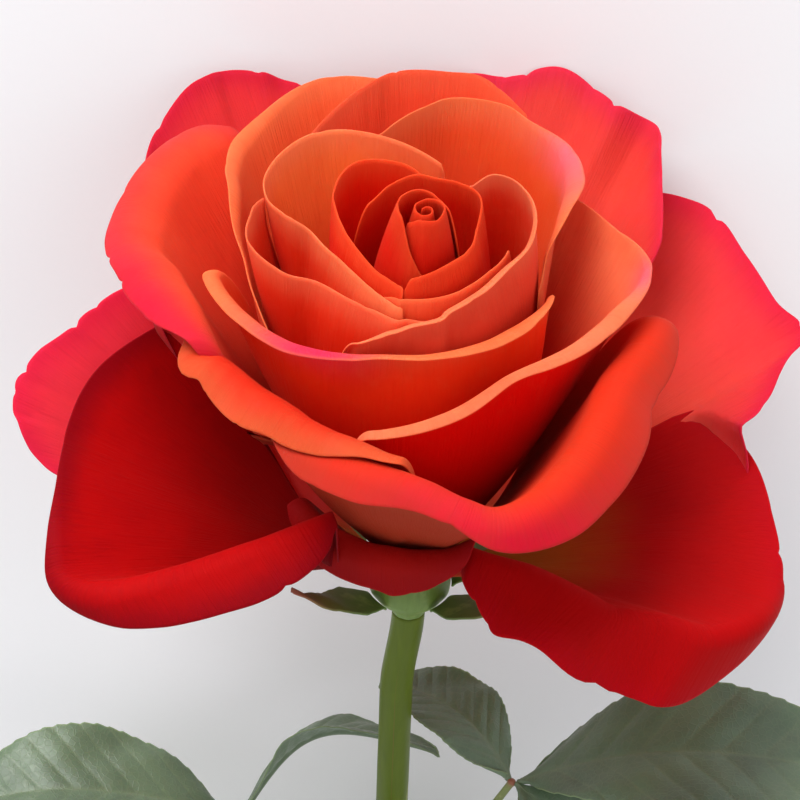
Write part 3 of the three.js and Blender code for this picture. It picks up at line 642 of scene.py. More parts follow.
def petal_grid(spec, order, seed, cover, settings):
    """Middle surface of a petal, columns across it by rows from its root to its margin.

    Column: the rim curve at t, with the petal cut lower by a quarter circle beyond each end of the
    rim. Row v: bearing runs from a narrow claw to the rim's by a smooth step, distance runs evenly
    from the root to the rim, and lean runs evenly plus cup times sin(pi v^0.85), then is pressed
    outside the petals already there. Returns the grid and the number of its row at the rim."""
    scroll = spec.get("scroll", False)
    across = settings.across * 2 if scroll else settings.across
    rim = np.asarray(spec["rim"], float)
    last = len(rim) - 1
    corner_share = spec.get("corner", CORNER_SHARE)
    corner = 0.0 if scroll else corner_share * last
    ripple = spec.get("ripple", RIPPLE)
    t = np.linspace(-corner, last + corner, across + 1)
    share = np.linspace(0, 1, across + 1)
    beyond = np.zeros_like(t) if scroll else np.maximum(np.maximum(-t, t - last), 0) / corner
    at_rim = through(rim, t)
    bearing = at_rim[:, 0] + np.sign(t) * beyond * corner_share * (rim[-1, 0] - rim[0, 0])
    rise = at_rim[:, 2] + BASE_DEPTH + 0.5 * ripple * wave(share, seed + 1, 5, 1.6)
    distance, lean = np.hypot(at_rim[:, 1], rise), np.degrees(np.arctan2(at_rim[:, 1], rise))
    torn = spec.get("torn", TORN) * nicks(share, seed + 4)
    distance = distance if "roll" in spec else distance - torn
    fall = 1 - CORNER_DROP * (1 - np.sqrt(np.maximum(1 - beyond ** 2, 0)))
    v = fall[:, None] * np.linspace(0, 1, settings.along + 1)[None, :]
    claw = 1.0 if scroll else CLAW_SHARE + (1 - CLAW_SHARE) * smooth_step(v / CLAW_LENGTH)
    middle = (rim[0, 0] + rim[-1, 0]) / 2
    bearings = middle + (bearing[:, None] - middle) * claw
    distances = BASE_RADIUS + (distance[:, None] - BASE_RADIUS) * v
    root = spec.get("root", INNER_ROOT + ROOT_STEP * order)
    outside, inside = SCROLL_ROOTS
    start = root * (outside + (inside - outside) * share[:, None]) if scroll else root
    leans = start + (lean[:, None] - start) * v + spec.get("cup", 0) * np.sin(math.pi * v ** 0.85)
    waves = wave(share[:, None] + 0.15 * v, seed, 4, 1.3)
    fine = wave(share[:, None] - 0.2 * v, seed + 2, 5, 3)
    leans = leans + ripple * v ** 2 * (waves * v + 0.25 * fine)
    if not scroll:
        leans = cover.press_out(bearings, distances, leans, settings.gap)
    grid = place(bearings, distances, leans)
    if "roll" in spec:
        beside = place(bearings[:, -1], distances[:, -1], leans[:, -1] + 1)
        margin = rolled_margin(grid, beside - grid[:, -1], spec, torn, seed + 3, settings.roll_rows)
        grid = np.concatenate([grid, margin], 1)
    return grid, settings.along


def rolled_margin(grid, away, spec, torn, seed, rows):
    """The rows by which a petal's margin turns back beyond its rim, away from the bloom's middle.

    It leaves along the petal's own rows and turns towards the side that away points to. After a run
    s its angle is s over the curl, up to the full turn, and its points add up equal steps at it."""
    share = np.linspace(0, 1, len(grid))
    roll = np.asarray(spec["roll"], float)
    length = np.maximum(through(roll, share * (len(roll) - 1)), SMALLEST_ROLL)
    length = np.maximum(length * (1 + 0.05 * wave(share, seed, 4, 1.5)) - torn, SMALLEST_ROLL)
    forward = evened(unit(grid[:, -1] - grid[:, -4]))
    outer = np.cross(evened(unit(np.gradient(grid[:, -1], axis=0))), forward)
    outer = unit(outer * np.sign((outer * away).sum(-1, keepdims=True)))
    run = length[:, None] * (np.arange(rows) + 0.5) / rows
    angle = np.minimum(run / spec["curl"], spec.get("turn", FULLEST_TURN) * RAD)
    step = (length / rows)[:, None]
    ahead, aside = np.cumsum(step * np.cos(angle), 1), np.cumsum(step * np.sin(angle), 1)
    return grid[:, -1:] + forward[:, None] * ahead[..., None] + outer[:, None] * aside[..., None]


def blush_share(spec, grid):
    """1 where a petal blushes most, easing off as a bell over bearing on both sides."""
    if "blush" not in spec:
        return np.zeros(len(grid))
    _, centre, width = spec["blush"]
    bearing = placing(grid)[0][:, grid.shape[1] // 2]
    away = (bearing - centre + 180) % 360 - 180
    return np.exp(-(away / width) ** 2)


def evened(vectors, passes=30):
    """Directions across a petal, each drawn to the mean of its neighbours so that they turn gently."""
    for _ in range(passes):
        wide = np.concatenate([vectors[:1], vectors, vectors[-1:]])
        vectors = (wide[:-2] + wide[1:-1] + wide[2:]) / 3
    return unit(vectors)


def edge_distances(grid):
    """For each point, mm along the surface to the margin's edge, and to the nearer side edge."""
    steps = np.linalg.norm(np.diff(grid, axis=1), axis=-1)
    to_edge = np.cumsum(steps[:, ::-1], 1)[:, ::-1]
    to_edge = np.concatenate([to_edge, np.zeros((len(grid), 1))], 1)
    widths = np.linalg.norm(np.diff(grid, axis=0), axis=-1)
    from_left = np.concatenate([np.zeros((1, grid.shape[1])), np.cumsum(widths, 0)], 0)
    return to_edge, np.minimum(from_left, from_left[-1:] - from_left)


def petal_material(name, spec, settings):
    """Velvety petal: a colour for each face, a blushing margin, a throat painted deep red as shade
    (warm-toned instead where a warm colour is set), a yellow claw and fanned veins. along is 0 at the
    root and 1 at the rim, and edge is 0 at the margin and 1 well inside it."""
    inner, margin, outer = (tone(code) for code in spec["colours"])
    mat = Recipe(name, Subsurface_Weight=settings.glow, Subsurface_Scale=0.0009,
                 Subsurface_Radius=(1.0, 0.1, 0.05), Sheen_Weight=0.04, Sheen_Roughness=0.5,
                 Sheen_Tint=(1.0, 0.42, 0.3, 1.0), Specular_IOR_Level=0.06)
    across, along = mat.surface()
    side, edge, blush = mat.marks()
    blotch = mat.noise(mat.coordinates(), 55.0, 5.0, 0.55)
    speck = mat.noise(mat.coordinates(), 420.0, 3.0, 0.6)
    streak = mat.noise(mat.joined(across * 26.0, along * 3.0), 1.0, 4.0, 0.6, 0.5)
    fan = mat.noise(mat.joined(across * 190.0, along * 8.0), 1.0, 3.0, 0.6, 0.3)
    near = edge + streak * 0.06 - 0.03 + (blotch - 0.5) * 0.12
    face = mat.mix(side, inner, outer)
    band = (1.0 - near.between(0.0, 0.28)) ** 1.5
    face = mat.mix((band * 0.8).clamped(), face, margin)
    if "blush" in spec:
        flush = (1.0 - near.between(0.04, 0.36)) * (blush + (blotch - 0.5) * 0.5).clamped()
        face = mat.mix((flush * 0.95).clamped(), face, tone(spec["blush"][0]))
    deep = scaled(outer, 0.7, 0.4, 0.4)
    face = mat.mix(((0.54 - blotch) * 2.4).clamped() * 0.42, face, deep)
    face = mat.mix(((streak - 0.48) * 0.9).clamped() * 0.2, face, deep)
    face = mat.mix(((fan - 0.47) * 2.4).clamped() * 0.17, face, deep)
    face = mat.mix(((blotch - 0.53) * 2.2).clamped() * 0.3, face, margin)
    face = mat.mix(((speck - 0.52) * 2.5).clamped() * 0.2, face, margin)
    # Painted shade: the lower part of each face, reaching further up the outer face, is mixed towards a
    # dark saturated red that stands for the shade deep inside the bloom; petals that set a warm colour
    # take that colour there instead.
    throat = 1.0 - (along - side * 0.18 + (blotch - 0.5) * 0.2).between(0.45, 1.0)
    depth = tone(spec["warm"]) if "warm" in spec else scaled(outer, 0.72, 0.1, 0.06)
    face = mat.mix(throat * spec.get("throat", 0.8), face, depth)
    claw = 1.0 - (along + streak * 0.1).between(0.08, spec.get("claw", 0.26))
    face = mat.mix(claw * 0.8, face, tone("a8741e"))
    face = mat.mix((1.0 - edge.between(0.0, 0.02)) * 0.35, face, margin)
    mat.set(Base_Color=face, Roughness=0.58 + 0.16 * blotch + 0.12 * (0.5 - fan))
    mat.relief(fan * 0.7 + streak * 0.5 + blotch * 1.2 + speck * 0.3, 0.0004, 0.6)
    return mat.material


# ---- hip and sepals -----------------------------------------------------------------------------
HIP_RIBS = 10
SEPAL_BEARINGS = (-50, 48, 108, 178, -118)
SEPAL_LENGTH = 18.0
SEPAL_WIDTH = 8.0
SEPAL_THICKNESS = 0.4
SEPAL_LEANS = (106, 66)       # degrees, at a sepal's foot and at its tip
SEPAL_GAP = 0.7               # mm between a sepal and the petals over it, middle to middle
SEPAL_SEED = 500


def hip_grid(around=72, ball=18, neck=30):
    """A ball-shaped top of the hip's radius, then a neck that narrows by a smooth step to the stem.
    Soft ribs, 1.2% high, run down the neck."""
    angle = np.linspace(0, 100, ball) * RAD
    radii, heights = HIP_RADIUS * np.sin(angle), HIP_RADIUS * np.cos(angle) - BASE_DEPTH
    v = np.linspace(0, 1, neck)[1:]
    radii = np.append(radii, radii[-1] + (STEM_DIAMETER / 2 - radii[-1]) * smooth_step(v))
    heights = np.append(heights, heights[-1] + (-HIP_FOOT - heights[-1]) * v)
    turn = circle(around)
    down = smooth_step(np.arange(len(radii)) / ball)[:, None]
    rib = 1 + 0.012 * np.cos(HIP_RIBS * turn)[None, :] * down
    radii = np.maximum(radii, 0.01)[:, None] * rib
    x, y = radii * np.sin(turn), -radii * np.cos(turn)
    return np.stack([x, y, np.broadcast_to(heights[:, None], x.shape)], -1)


def sepal_grid(bearing, cover, seed, across=32, along=56):
    """A pointed sepal on the petals' underside. Its width is SEPAL_WIDTH times the lesser of a
    widening foot and a narrowing tip, and its lean falls as the square root of v, pressed out."""
    u = np.linspace(-1, 1, across + 1)[:, None]
    v = np.linspace(0, 1, along + 1)[None, :]
    distance = np.broadcast_to(BASE_RADIUS + SEPAL_LENGTH * v, (across + 1, along + 1))
    foot, tip = SEPAL_LEANS
    half = SEPAL_WIDTH / 2 * np.minimum(0.55 + 1.5 * v, 1.25 * (1 - v) + 0.04)
    half = half * (1 + 0.12 * wave(v, seed, 4, 3) * v)
    bearings = bearing + (u * half) / distance / RAD + 4 * wave(v, seed + 1, 2, 0.7) * v
    lean = foot + (tip - foot) * np.sqrt(v) + 1.5 * wave(v + 0.1 * u, seed + 2, 3, 1) * v
    lean = cover.press_out(bearings, distance, lean - 3.0 * (1 - u ** 2) * (1 - v), SEPAL_GAP)
    grid = place(bearings, distance, lean)
    looks_in = (normals_of(grid) * grid * [1, 1, 0]).sum() < 0
    return grid[::-1] if looks_in else grid


def plant_material(name, base, dark, light, vein_scale, gloss=0.45, flush=None):
    """Green plant skin: long streaks, mottling and a waxy surface, with a red flush by the first mark."""
    mat = Recipe(name, Subsurface_Weight=0.12, Subsurface_Scale=0.0015,
                 Subsurface_Radius=(0.5, 1.0, 0.2), Specular_IOR_Level=0.5, Coat_Roughness=0.35)
    across, along = mat.surface()
    spot = mat.noise(mat.coordinates(), 220.0, 4.0, 0.6)
    cloud = mat.noise(mat.coordinates(), 45.0, 3.0, 0.5)
    streak = mat.noise(mat.joined(across * vein_scale, along * 6.0), 1.0, 4.0, 0.6)
    colour = mat.mix((streak * 0.9 + cloud * 0.4 - 0.2).clamped(), opaque(base), tone(dark))
    colour = mat.mix((spot - 0.52).between(0.0, 0.14) * 0.35, colour, tone(light))
    if flush:
        reddened = mat.marks()[0]
        colour = mat.mix((reddened * 1.4 * (0.35 + cloud)).clamped(), colour, tone(flush))
    mat.set(Base_Color=colour, Roughness=gloss + 0.15 * cloud, Coat_Weight=0.12 + 0.1 * spot)
    mat.relief(streak * 0.7 + spot * 0.4, 0.00018, 0.5)
    return mat.material


# ---- stem, prickles and leaves ------------------------------------------------------------------
STEM_OFFSET = -1.5            # the stem's step to the left below the hip
STEM_BOW = 3.0
STEM_KNOB = 0.14              # how much the stem swells where a leaf leaves it, as a share
STEM_MAP = 60                 # rings of the stem to one length of its surface map
CUT_RINGS = (0.04, 0.3, 0.6, 0.85)    # rings on the cut end, as shares of the way to its middle
PRICKLES = ((89, 60), (123, -150), (157, 20), (187, 130), (215, -70))     # mm below the hip, bearing
PRICKLE_LENGTH = 6.0
PRICKLE_WIDTH = 3.0
PRICKLE_SINK = 0.25           # how far a prickle's foot stands in the stem's skin
RACHIS_RADIUS = 0.9
RACHIS_SINK = 0.3             # how far a leaf stalk's foot stands in the stem's skin
LEAFLET_WIDTH = 25.0
LEAF_THICKNESS = 0.35
LEAF_EDGE = 8                 # mm over which a leaflet's edge mark runs from 0 to 1
LEAFLET_SEED = 900
# Points are in the bloom frame. at is the point of the stalk that the leaflet grows from, tip its tip,
# face the way that its blade looks, wide its width as a share and arch how high it bows, in mm.
LEAVES = {
    "right_leaf": dict(down=83, points=[[4, -2, -84], [9, -3, -72], [14, -4, -58], [18.5, -4, -48]],
        leaflets=[
            dict(at=3, tip=[82, -9, -42], face=[0, -0.1, 1], wide=1.0, arch=9),
            dict(at=3, tip=[-4, 15, -46], face=[0.1, 0, 1], wide=0.62, arch=6),
            dict(at=3, tip=[46, -24, -72], face=[0.4, -0.5, 0.8], wide=0.75, arch=4),
            dict(at=1, tip=[48, -18, -92], face=[0.3, -0.8, 0.5], wide=0.8, arch=3),
            dict(at=1, tip=[-24, -17, -70], face=[-0.1, -1, 0.2], wide=0.75, arch=3),
        ]),
    "left_leaf": dict(down=107, points=[[-7, 4, -106], [-13, 6, -96], [-22, 8, -84], [-29, 10, -76]],
        leaflets=[
            dict(at=3, tip=[-82, 3, -70], face=[0, -0.1, 1], wide=1.0, arch=8),
            dict(at=3, tip=[6, 16, -63], face=[-0.3, 0.5, 0.6], wide=0.7, arch=9),
            dict(at=3, tip=[-62, 18, -104], face=[-0.4, -0.6, 0.7], wide=0.78, arch=4),
            dict(at=1, tip=[-48, 12, -124], face=[-0.3, -0.8, 0.4], wide=0.8, arch=3),
            dict(at=1, tip=[24, 19, -106], face=[0.2, -0.9, 0.3], wide=0.72, arch=3),
        ]),
}
SIDE_VEINS = 9                # on each side of a leaflet's midrib
TEETH = 22                    # along each side of a leaflet


def stem_point(down):
    """The stem's middle line, by mm below the hip: a step to the left, then a gentle sideways bow."""
    down = np.asarray(down, float)
    bow = STEM_BOW * np.sin(math.pi * down / STEM_LENGTH) ** 2 * smooth_step((down - 60) / 60)
    x = STEM_OFFSET * smooth_step(down / 18) - bow
    return np.stack([x, np.zeros_like(x), -HIP_FOOT - down], -1)


def stem_grid(around=48, steps=420):
    """Rings round the stem's middle line, then rings that close in over the cut end. The radius has
    five ribs that wind slowly round, a slight waviness, and a bell-shaped knob at each leaf."""
    down = np.linspace(FIT_GAP, STEM_LENGTH, steps)
    path = stem_point(down)
    turn = circle(around)
    radius = STEM_DIAMETER / 2 * (1 - 0.03 * np.exp(-down / 20))
    for leaf in LEAVES.values():
        radius = radius * (1 + STEM_KNOB * np.exp(-((down - leaf["down"] + 2) / 4.0) ** 2))
    rib = 1 + 0.012 * np.cos(5 * turn[None, :] + down[:, None] / 60)
    rib = rib + 0.006 * wave(down / 250, 7, 6, 6)[:, None]
    radii = radius[:, None] * rib
    x = path[:, None, 0] + radii * np.sin(turn)
    y = path[:, None, 1] - radii * np.cos(turn)
    grid = np.stack([x, y, np.broadcast_to(path[:, None, 2], x.shape)], -1)
    end = [grid[-1] * (1 - share) + path[-1] * share for share in CUT_RINGS]
    return np.concatenate([grid, np.stack(end)])


def prickle_grid(down, bearing, around=36, steps=40):
    """A hooked prickle: its middle line leaves the stem along v and drops by half its length times
    v^1.9, and its rings are ovals, tall at the foot, that narrow evenly with a flare of (1 - v)^2.2."""
    v = np.linspace(0, 1, steps)
    out = np.array([math.sin(bearing * RAD), -math.cos(bearing * RAD), 0.0])
    side = np.array([math.cos(bearing * RAD), math.sin(bearing * RAD), 0.0])
    rise = np.array([0.0, 0.0, 1.0])
    foot = STEM_DIAMETER / 2 - PRICKLE_SINK
    path = stem_point(down) + out * (foot + (PRICKLE_LENGTH + 0.2) * v)[:, None]
    path = path - rise * (0.5 * PRICKLE_LENGTH * v ** 1.9)[:, None]
    flare = (1 - v) ** 2.2
    wide = PRICKLE_WIDTH / 2 * (0.22 * (1 - v) + 0.5 * flare + 0.02)
    tall = PRICKLE_WIDTH / 2 * (0.3 * (1 - v) + 1.55 * flare + 0.02)
    turn = circle(around)
    grid = path[:, None] + side * (wide[:, None] * np.cos(turn))[..., None]
    return facing_out(grid + rise * (tall[:, None] * np.sin(turn))[..., None])


def leaf_points(leaf):
    """The stalk's points, from the stem's skin outwards."""
    points = np.asarray(leaf["points"], float)
    root = stem_point(leaf["down"])
    out = (points[0] - root) * [1, 1, 0]
    root = root + unit(out) * (STEM_DIAMETER / 2 - RACHIS_SINK)
    return np.vstack([root, points])


def stalk_grid(leaf, around=28, steps=160):
    """Rings about the smooth curve through a leaf's points, with a groove along the top. The radius
    flares at the stem, swells as a bell at the two joints and rounds off at the tip. Returns the rings
    and how near each one is to a joint."""
    points = leaf_points(leaf)
    t = np.linspace(0, len(points) - 1, steps)
    path = through(points, t)
    joint = sum(np.exp(-((t - at) / 0.09) ** 2) for at in (2, len(points) - 1))
    radius = RACHIS_RADIUS * (1.0 + 0.9 * np.exp(-t / 0.12) - 0.08 * t) * (1 + 0.35 * joint)
    tip = 1 - smooth_step((t - t[-1] + 0.05) / 0.05)
    radius = radius * np.maximum(tip, 0.02) ** 0.5
    along = unit(np.gradient(path, axis=0))
    side = unit(np.cross(along, np.array([0.3, 1.0, 0.2])))
    up = np.cross(along, side)
    turn = circle(around)
    groove = 1 - 0.12 * np.exp(-((turn - math.pi / 2) / 0.5) ** 2)
    ring = side[:, None] * (groove * np.cos(turn))[None, :, None]
    ring = ring + up[:, None] * (groove * np.sin(turn))[None, :, None]
    return facing_out(path[:, None] + ring * radius[:, None, None]), joint


def leaflet_grid(foot, tip, face, width, arch, seed, across=72, along=150):
    """A serrate blade. Half width: sin(pi v^0.85)^0.8 of half the width, with saw teeth that lean to
    the tip. Height: the arch times sin(pi v), a fold that rises from the midrib, and a quilted lift
    between side veins that leave the midrib at about 50 degrees. Returns the grid, with the face up,
    the quilting (0 on a side vein) and the midrib (1 on it)."""
    span = tip - foot
    length = np.linalg.norm(span)
    side = unit(np.cross(span, face))
    up = unit(np.cross(side, span))
    u = np.linspace(-1, 1, across + 1)
    u = (np.sign(u) * np.abs(u) ** 0.92)[:, None]
    v = np.linspace(0, 1, along + 1)[None, :]
    profile = np.maximum(np.sin(math.pi * v ** 0.85), 0) ** 0.8
    tooth = (v * TEETH + 0.15 * np.sign(u)) % 1.0
    saw = np.where(tooth < 0.78, tooth / 0.78, (1 - tooth) / 0.22)
    edge = np.abs(u) ** 5
    cut = 0.026 * (saw - 0.5) * edge * smooth_step(profile * 4)
    half = width / 2 * (np.maximum(profile, 0.03) + cut)
    sideways = u * half
    phase = (v * 1.06 - 0.42 * np.abs(sideways) / length * 2) * SIDE_VEINS
    quilt = np.abs(np.sin(math.pi * phase)) ** 0.7
    rib = np.exp(-(sideways / 0.55) ** 2)
    lift = arch * np.sin(math.pi * v) + 0.2 * np.abs(u) * half - 0.35 * rib
    lift = lift + 0.3 * (quilt - 0.6) * (1 - rib) * smooth_step(profile * 2) * (1 - 0.5 * edge)
    lift = lift + 0.9 * wave(v + 0.3 * u, seed, 3, 1.2) * np.abs(u) + 0.5 * wave(v, seed + 1, 2, 0.9)
    tipward = 0.03 * length * np.abs(u) * (1 - v)
    grid = foot + unit(span) * (v * length + tipward)[..., None]
    grid = grid + side * sideways[..., None] + up * lift[..., None]
    looks_down = (normals_of(grid) * up).sum() < 0
    return (grid[::-1], quilt[::-1], rib[::-1]) if looks_down else (grid, quilt, rib)


def leaf_material(name, settings):
    """Leaf blade: grey-green with paler veins, a light edge, mottling and a soft waxy sheen."""
    mat = Recipe(name, Subsurface_Weight=0.1, Subsurface_Scale=0.001,
                 Subsurface_Radius=(0.4, 1.0, 0.2), Specular_IOR_Level=0.5, Coat_Roughness=0.42)
    side, edge, vein = mat.marks()
    cloud = mat.noise(mat.coordinates(), 60.0, 4.0, 0.6)
    net = 1.0 - mat.cells(mat.coordinates(), 900.0, "DISTANCE_TO_EDGE").between(0.0, 0.12)
    colour = mat.mix(cloud.between(0.3, 0.7), opaque(settings.leaf), opaque(settings.leaf_deep))
    colour = mat.mix(net * 0.1, colour, tone("7c8a60"))
    colour = mat.mix((1.0 - side) * 0.6, colour, tone("76886a"))
    colour = mat.mix(vein * 0.3, colour, tone("7b8862"))
    colour = mat.mix((1.0 - edge.between(0.0, 0.045)) * 0.5, colour, tone("869866"))
    mat.set(Base_Color=colour, Roughness=0.4 + 0.16 * cloud - 0.08 * net, Coat_Weight=0.35 * side)
    mat.relief(net * 0.35 + cloud * 0.4, 0.00014, 0.6)
    return mat.material


def stem_material(settings):
    """Stem: olive skin flushed red on one side, fine streaks and pale dots, and a pale cut end."""
    mat = Recipe("stem_skin", Subsurface_Weight=0.1, Subsurface_Scale=0.0015,
                 Subsurface_Radius=(0.6, 1.0, 0.2), Specular_IOR_Level=0.25, Coat_Roughness=0.3)
    across = mat.surface()[0]
    end = mat.marks()[1]
    drawn_out = mat.stretched(mat.coordinates(), (1.0, 0.06, 1.0))
    streak = mat.noise(drawn_out, 900.0, 4.0, 0.6)
    cloud = mat.noise(mat.stretched(mat.coordinates(), (1.0, 0.4, 1.0)), 70.0, 3.0, 0.5)
    dot = 1.0 - mat.cells(drawn_out, 420.0, "F1").between(0.12, 0.2)
    red = (across * 2 * math.pi - 0.9).sine().between(0.2, 1.0) * cloud.between(0.35, 0.65)
    colour = mat.mix((streak * 0.8 + cloud * 0.4 - 0.15).clamped(), opaque(settings.stem), tone("4c5c0c"))
    colour = mat.mix(red * 0.35, colour, tone("8a5238"))
    colour = mat.mix(dot * 0.5, colour, tone("98a04a"))
    colour = mat.mix(end.between(0.05, 0.2), colour, tone("c9cf9a"))
    colour = mat.mix(end.between(0.5, 0.8), colour, tone("e6e4c8"))
    mat.set(Base_Color=colour, Roughness=0.36 + 0.2 * cloud, Coat_Weight=0.08 * (1.0 - end))
    mat.relief(streak * 0.8 + dot * 0.6, 0.00012, 0.6)
    return mat.material


# ---- stage --------------------------------------------------------------------------------------
FLOOR_HALF = 4.0              # half the floor's side, m
FLOOR_GRAIN = 0.9             # how dark the floor's grain is against it
AIM_LEFT = 1.71               # the camera aims this far left of the bloom's base, mm
AIM_UP = 23.0                 # and this far up the bloom
LIT_POINT = (0, 0, 35)        # what the lights aim at, in the bloom frame
SKY = (0.93, 0.95, 1.0, 1.0)
# name, direction in the bloom frame, distance (m), diameter (m), power (W)
LIGHTS = (
    ("key", (-0.35, -0.1, 1.0), 1.3, 0.9, 17.5),
    ("fill", (0.7, -0.9, 0.5), 1.6, 1.4, 2.0),
)


# ---- settings that a user would change ----------------------------------------------------------
class PetalSettings(bpy.types.PropertyGroup):
    thickness: bpy.props.FloatProperty(
        name="Thickness", description="Thickness of a petal 0.7 of the way to its rim, in mm",
        default=0.3, min=0.1, max=1.0)
    gap: bpy.props.FloatProperty(
        name="Gap", description="Room between petals that lie together, middle to middle, in mm",
        default=0.42, min=0.3, max=2.0)
    across: bpy.props.IntProperty(
        name="Across", description="Facets across a petal", default=120, min=16, max=200)
    along: bpy.props.IntProperty(
        name="Along", description="Facets from a petal's root to its rim", default=80, min=12, max=160)
    roll_rows: bpy.props.IntProperty(
        name="Rolled margin", description="Facets round a rolled margin", default=22, min=4, max=60)
    glow: bpy.props.FloatProperty(
        name="Glow", description="How much light comes through a petal",
        default=0.45, min=0.0, max=1.0, subtype="FACTOR")


def colour_setting(name, description, code):
    """A colour property whose default is written as hex sRGB."""
    return bpy.props.FloatVectorProperty(
        name=name, description=description, default=tone(code)[:3], size=3, subtype="COLOR",
        min=0.0, max=1.0)


class GreenSettings(bpy.types.PropertyGroup):
    leaf: colour_setting("Leaf", "Colour of a leaf's upper face", "5b6f52")
    leaf_deep: colour_setting("Leaf, deep", "Colour of the leaf's darker patches", "46583f")
    stem: colour_setting("Stem", "Colour of the stem's skin", "66780e")
    hip: colour_setting("Hip", "Colour of the hip's skin", "7f9a44")
    sepal: colour_setting("Sepal", "Colour of the sepals", "6f8a3e")
    prickle: colour_setting("Prickle", "Colour of the prickles", "a0703c")
    stalk: colour_setting("Leaf stalk", "Colour of the leaf stalks", "8a9150")


class StageSettings(bpy.types.PropertyGroup):
    floor: bpy.props.FloatVectorProperty(
        name="Floor", description="Colour of the floor", default=(0.95, 0.945, 0.94), size=3,
        subtype="COLOR", min=0.0, max=1.0)
    distance: bpy.props.FloatProperty(
        name="Camera distance", description="From the camera to the bloom's base",
        default=0.42, unit="LENGTH")
    elevation: bpy.props.FloatProperty(
        name="Camera elevation", description="How far the camera looks down into the bloom",
        default=math.radians(40), subtype="ANGLE")
    lean: bpy.props.FloatProperty(
        name="Camera roll", description="How far the bloom leans to the right, as the camera sees it",
        default=math.radians(2), subtype="ANGLE")
    lens: bpy.props.FloatProperty(
        name="Lens", description="Focal length on a 36 mm sensor, in mm", default=121.5)
    sky: bpy.props.FloatProperty(
        name="Sky", description="Strength of the even light from all round", default=0.74, min=0.0)


# ---- operators ----------------------------------------------------------------------------------
COVER = Cover()


class ROSE_OT_petals(bpy.types.Operator):
    """Build the petals, from the bud's core outwards"""

    bl_idname = "rose.petals"
    bl_label = "Petals"

    def execute(self, context):
        settings = context.scene.rose_petals
        for k, (name, spec) in enumerate(PETALS.items()):
            COVER.soften()
            grid, rim_row = petal_grid(spec, k / len(PETALS), PETAL_SEED + 10 * k, COVER, settings)
            if spec["rim"][-1][0] < spec["rim"][0][0]:
                grid = grid[::-1]
            COVER.lay(grid)
            to_edge, to_side = edge_distances(grid)
            row = np.arange(grid.shape[1]) / rim_row
            thinning = (MARGIN_THICKNESS - ROOT_THICKNESS) * np.minimum(row, 1.0)
            thickness = settings.thickness * (ROOT_THICKNESS + thinning)[None, :]
            points, faces, i, j, side = sheet(grid, thickness)
            edge = np.minimum(to_edge, to_side + SIDE_EDGE)[i, j] / PETAL_EDGE
            uv = columns_of(i / (len(grid) - 1), np.minimum(row[j], 1.0))
            marks = columns_of(side, np.minimum(edge, 1), blush_share(spec, grid)[i])
            material = petal_material(name + "_velvet", spec, settings)
            make_piece(name + "_fine", points, faces, name, material, uv, marks)
        return {"FINISHED"}


class ROSE_OT_hip(bpy.types.Operator):
    """Build the hip under the petals"""

    bl_idname = "rose.hip"
    bl_label = "Hip"

    def execute(self, context):
        colour = context.scene.rose_greens.hip
        material = plant_material("hip_skin", colour, "5d7a2c", "a3b565", 60.0)
        grid = hip_grid()
        points, faces = closed_rings(grid)
        uv = ring_uv(points, grid.shape[1], len(grid))
        marks = np.zeros((len(points), 3))
        make_piece("hip_fine", points, faces, "hip", material, uv, marks)
        return {"FINISHED"}


class ROSE_OT_sepals(bpy.types.Operator):
    """Build the five sepals under the petals"""

    bl_idname = "rose.sepals"
    bl_label = "Sepals"

    def execute(self, context):
        colour = context.scene.rose_greens.sepal
        material = plant_material("sepal_skin", colour, "4d6a2a", "a7b86a", 40.0, 0.55, "9a4a30")
        for k, bearing in enumerate(SEPAL_BEARINGS):
            COVER.soften()
            grid = sepal_grid(bearing, COVER, SEPAL_SEED + 10 * k)
            COVER.lay(grid)
            points, faces, i, j, side = sheet(grid, SEPAL_THICKNESS)
            uv = columns_of(i / grid.shape[0], j / grid.shape[1])
            marks = columns_of((j / grid.shape[1]) ** 3, side, side)
            name = f"sepal_{k + 1}"
            make_piece(name + "_fine", points, faces, name, material, uv, marks)
        return {"FINISHED"}


class ROSE_OT_stem(bpy.types.Operator):
    """Build the stem down to its cut end"""

    bl_idname = "rose.stem"
    bl_label = "Stem"

    def execute(self, context):
        grid = stem_grid()
        points, faces = closed_rings(grid)
        around = grid.shape[1]
        rim_ring = len(grid) - len(CUT_RINGS) - 1
        inwards = (ring_numbers(points, around) - rim_ring) / len(CUT_RINGS)
        uv = ring_uv(points, around, STEM_MAP)
        marks = columns_of(0.0, np.clip(inwards, 0, 1), 0.0)
        material = stem_material(context.scene.rose_greens)
        make_piece("stem_fine", points, faces, "stem", material, uv, marks)
        return {"FINISHED"}


class ROSE_OT_prickles(bpy.types.Operator):
    """Build the hooked prickles on the stem"""

    bl_idname = "rose.prickles"
    bl_label = "Prickles"

    def execute(self, context):
        colour = context.scene.rose_greens.prickle
        material = plant_material("prickle_horn", colour, "7a4426", "b9905c", 30.0, 0.35, "8c3a22")
        for k, (down, bearing) in enumerate(PRICKLES):
            grid = prickle_grid(down, bearing)
            points, faces = closed_rings(grid)
            uv = ring_uv(points, grid.shape[1], len(grid))
            marks = columns_of(uv[:, 1] * 0.8, 0.0, 0.0)
            name = f"prickle_{k + 1}"
            make_piece(name + "_fine", points, faces, name, material, uv, marks)
        return {"FINISHED"}


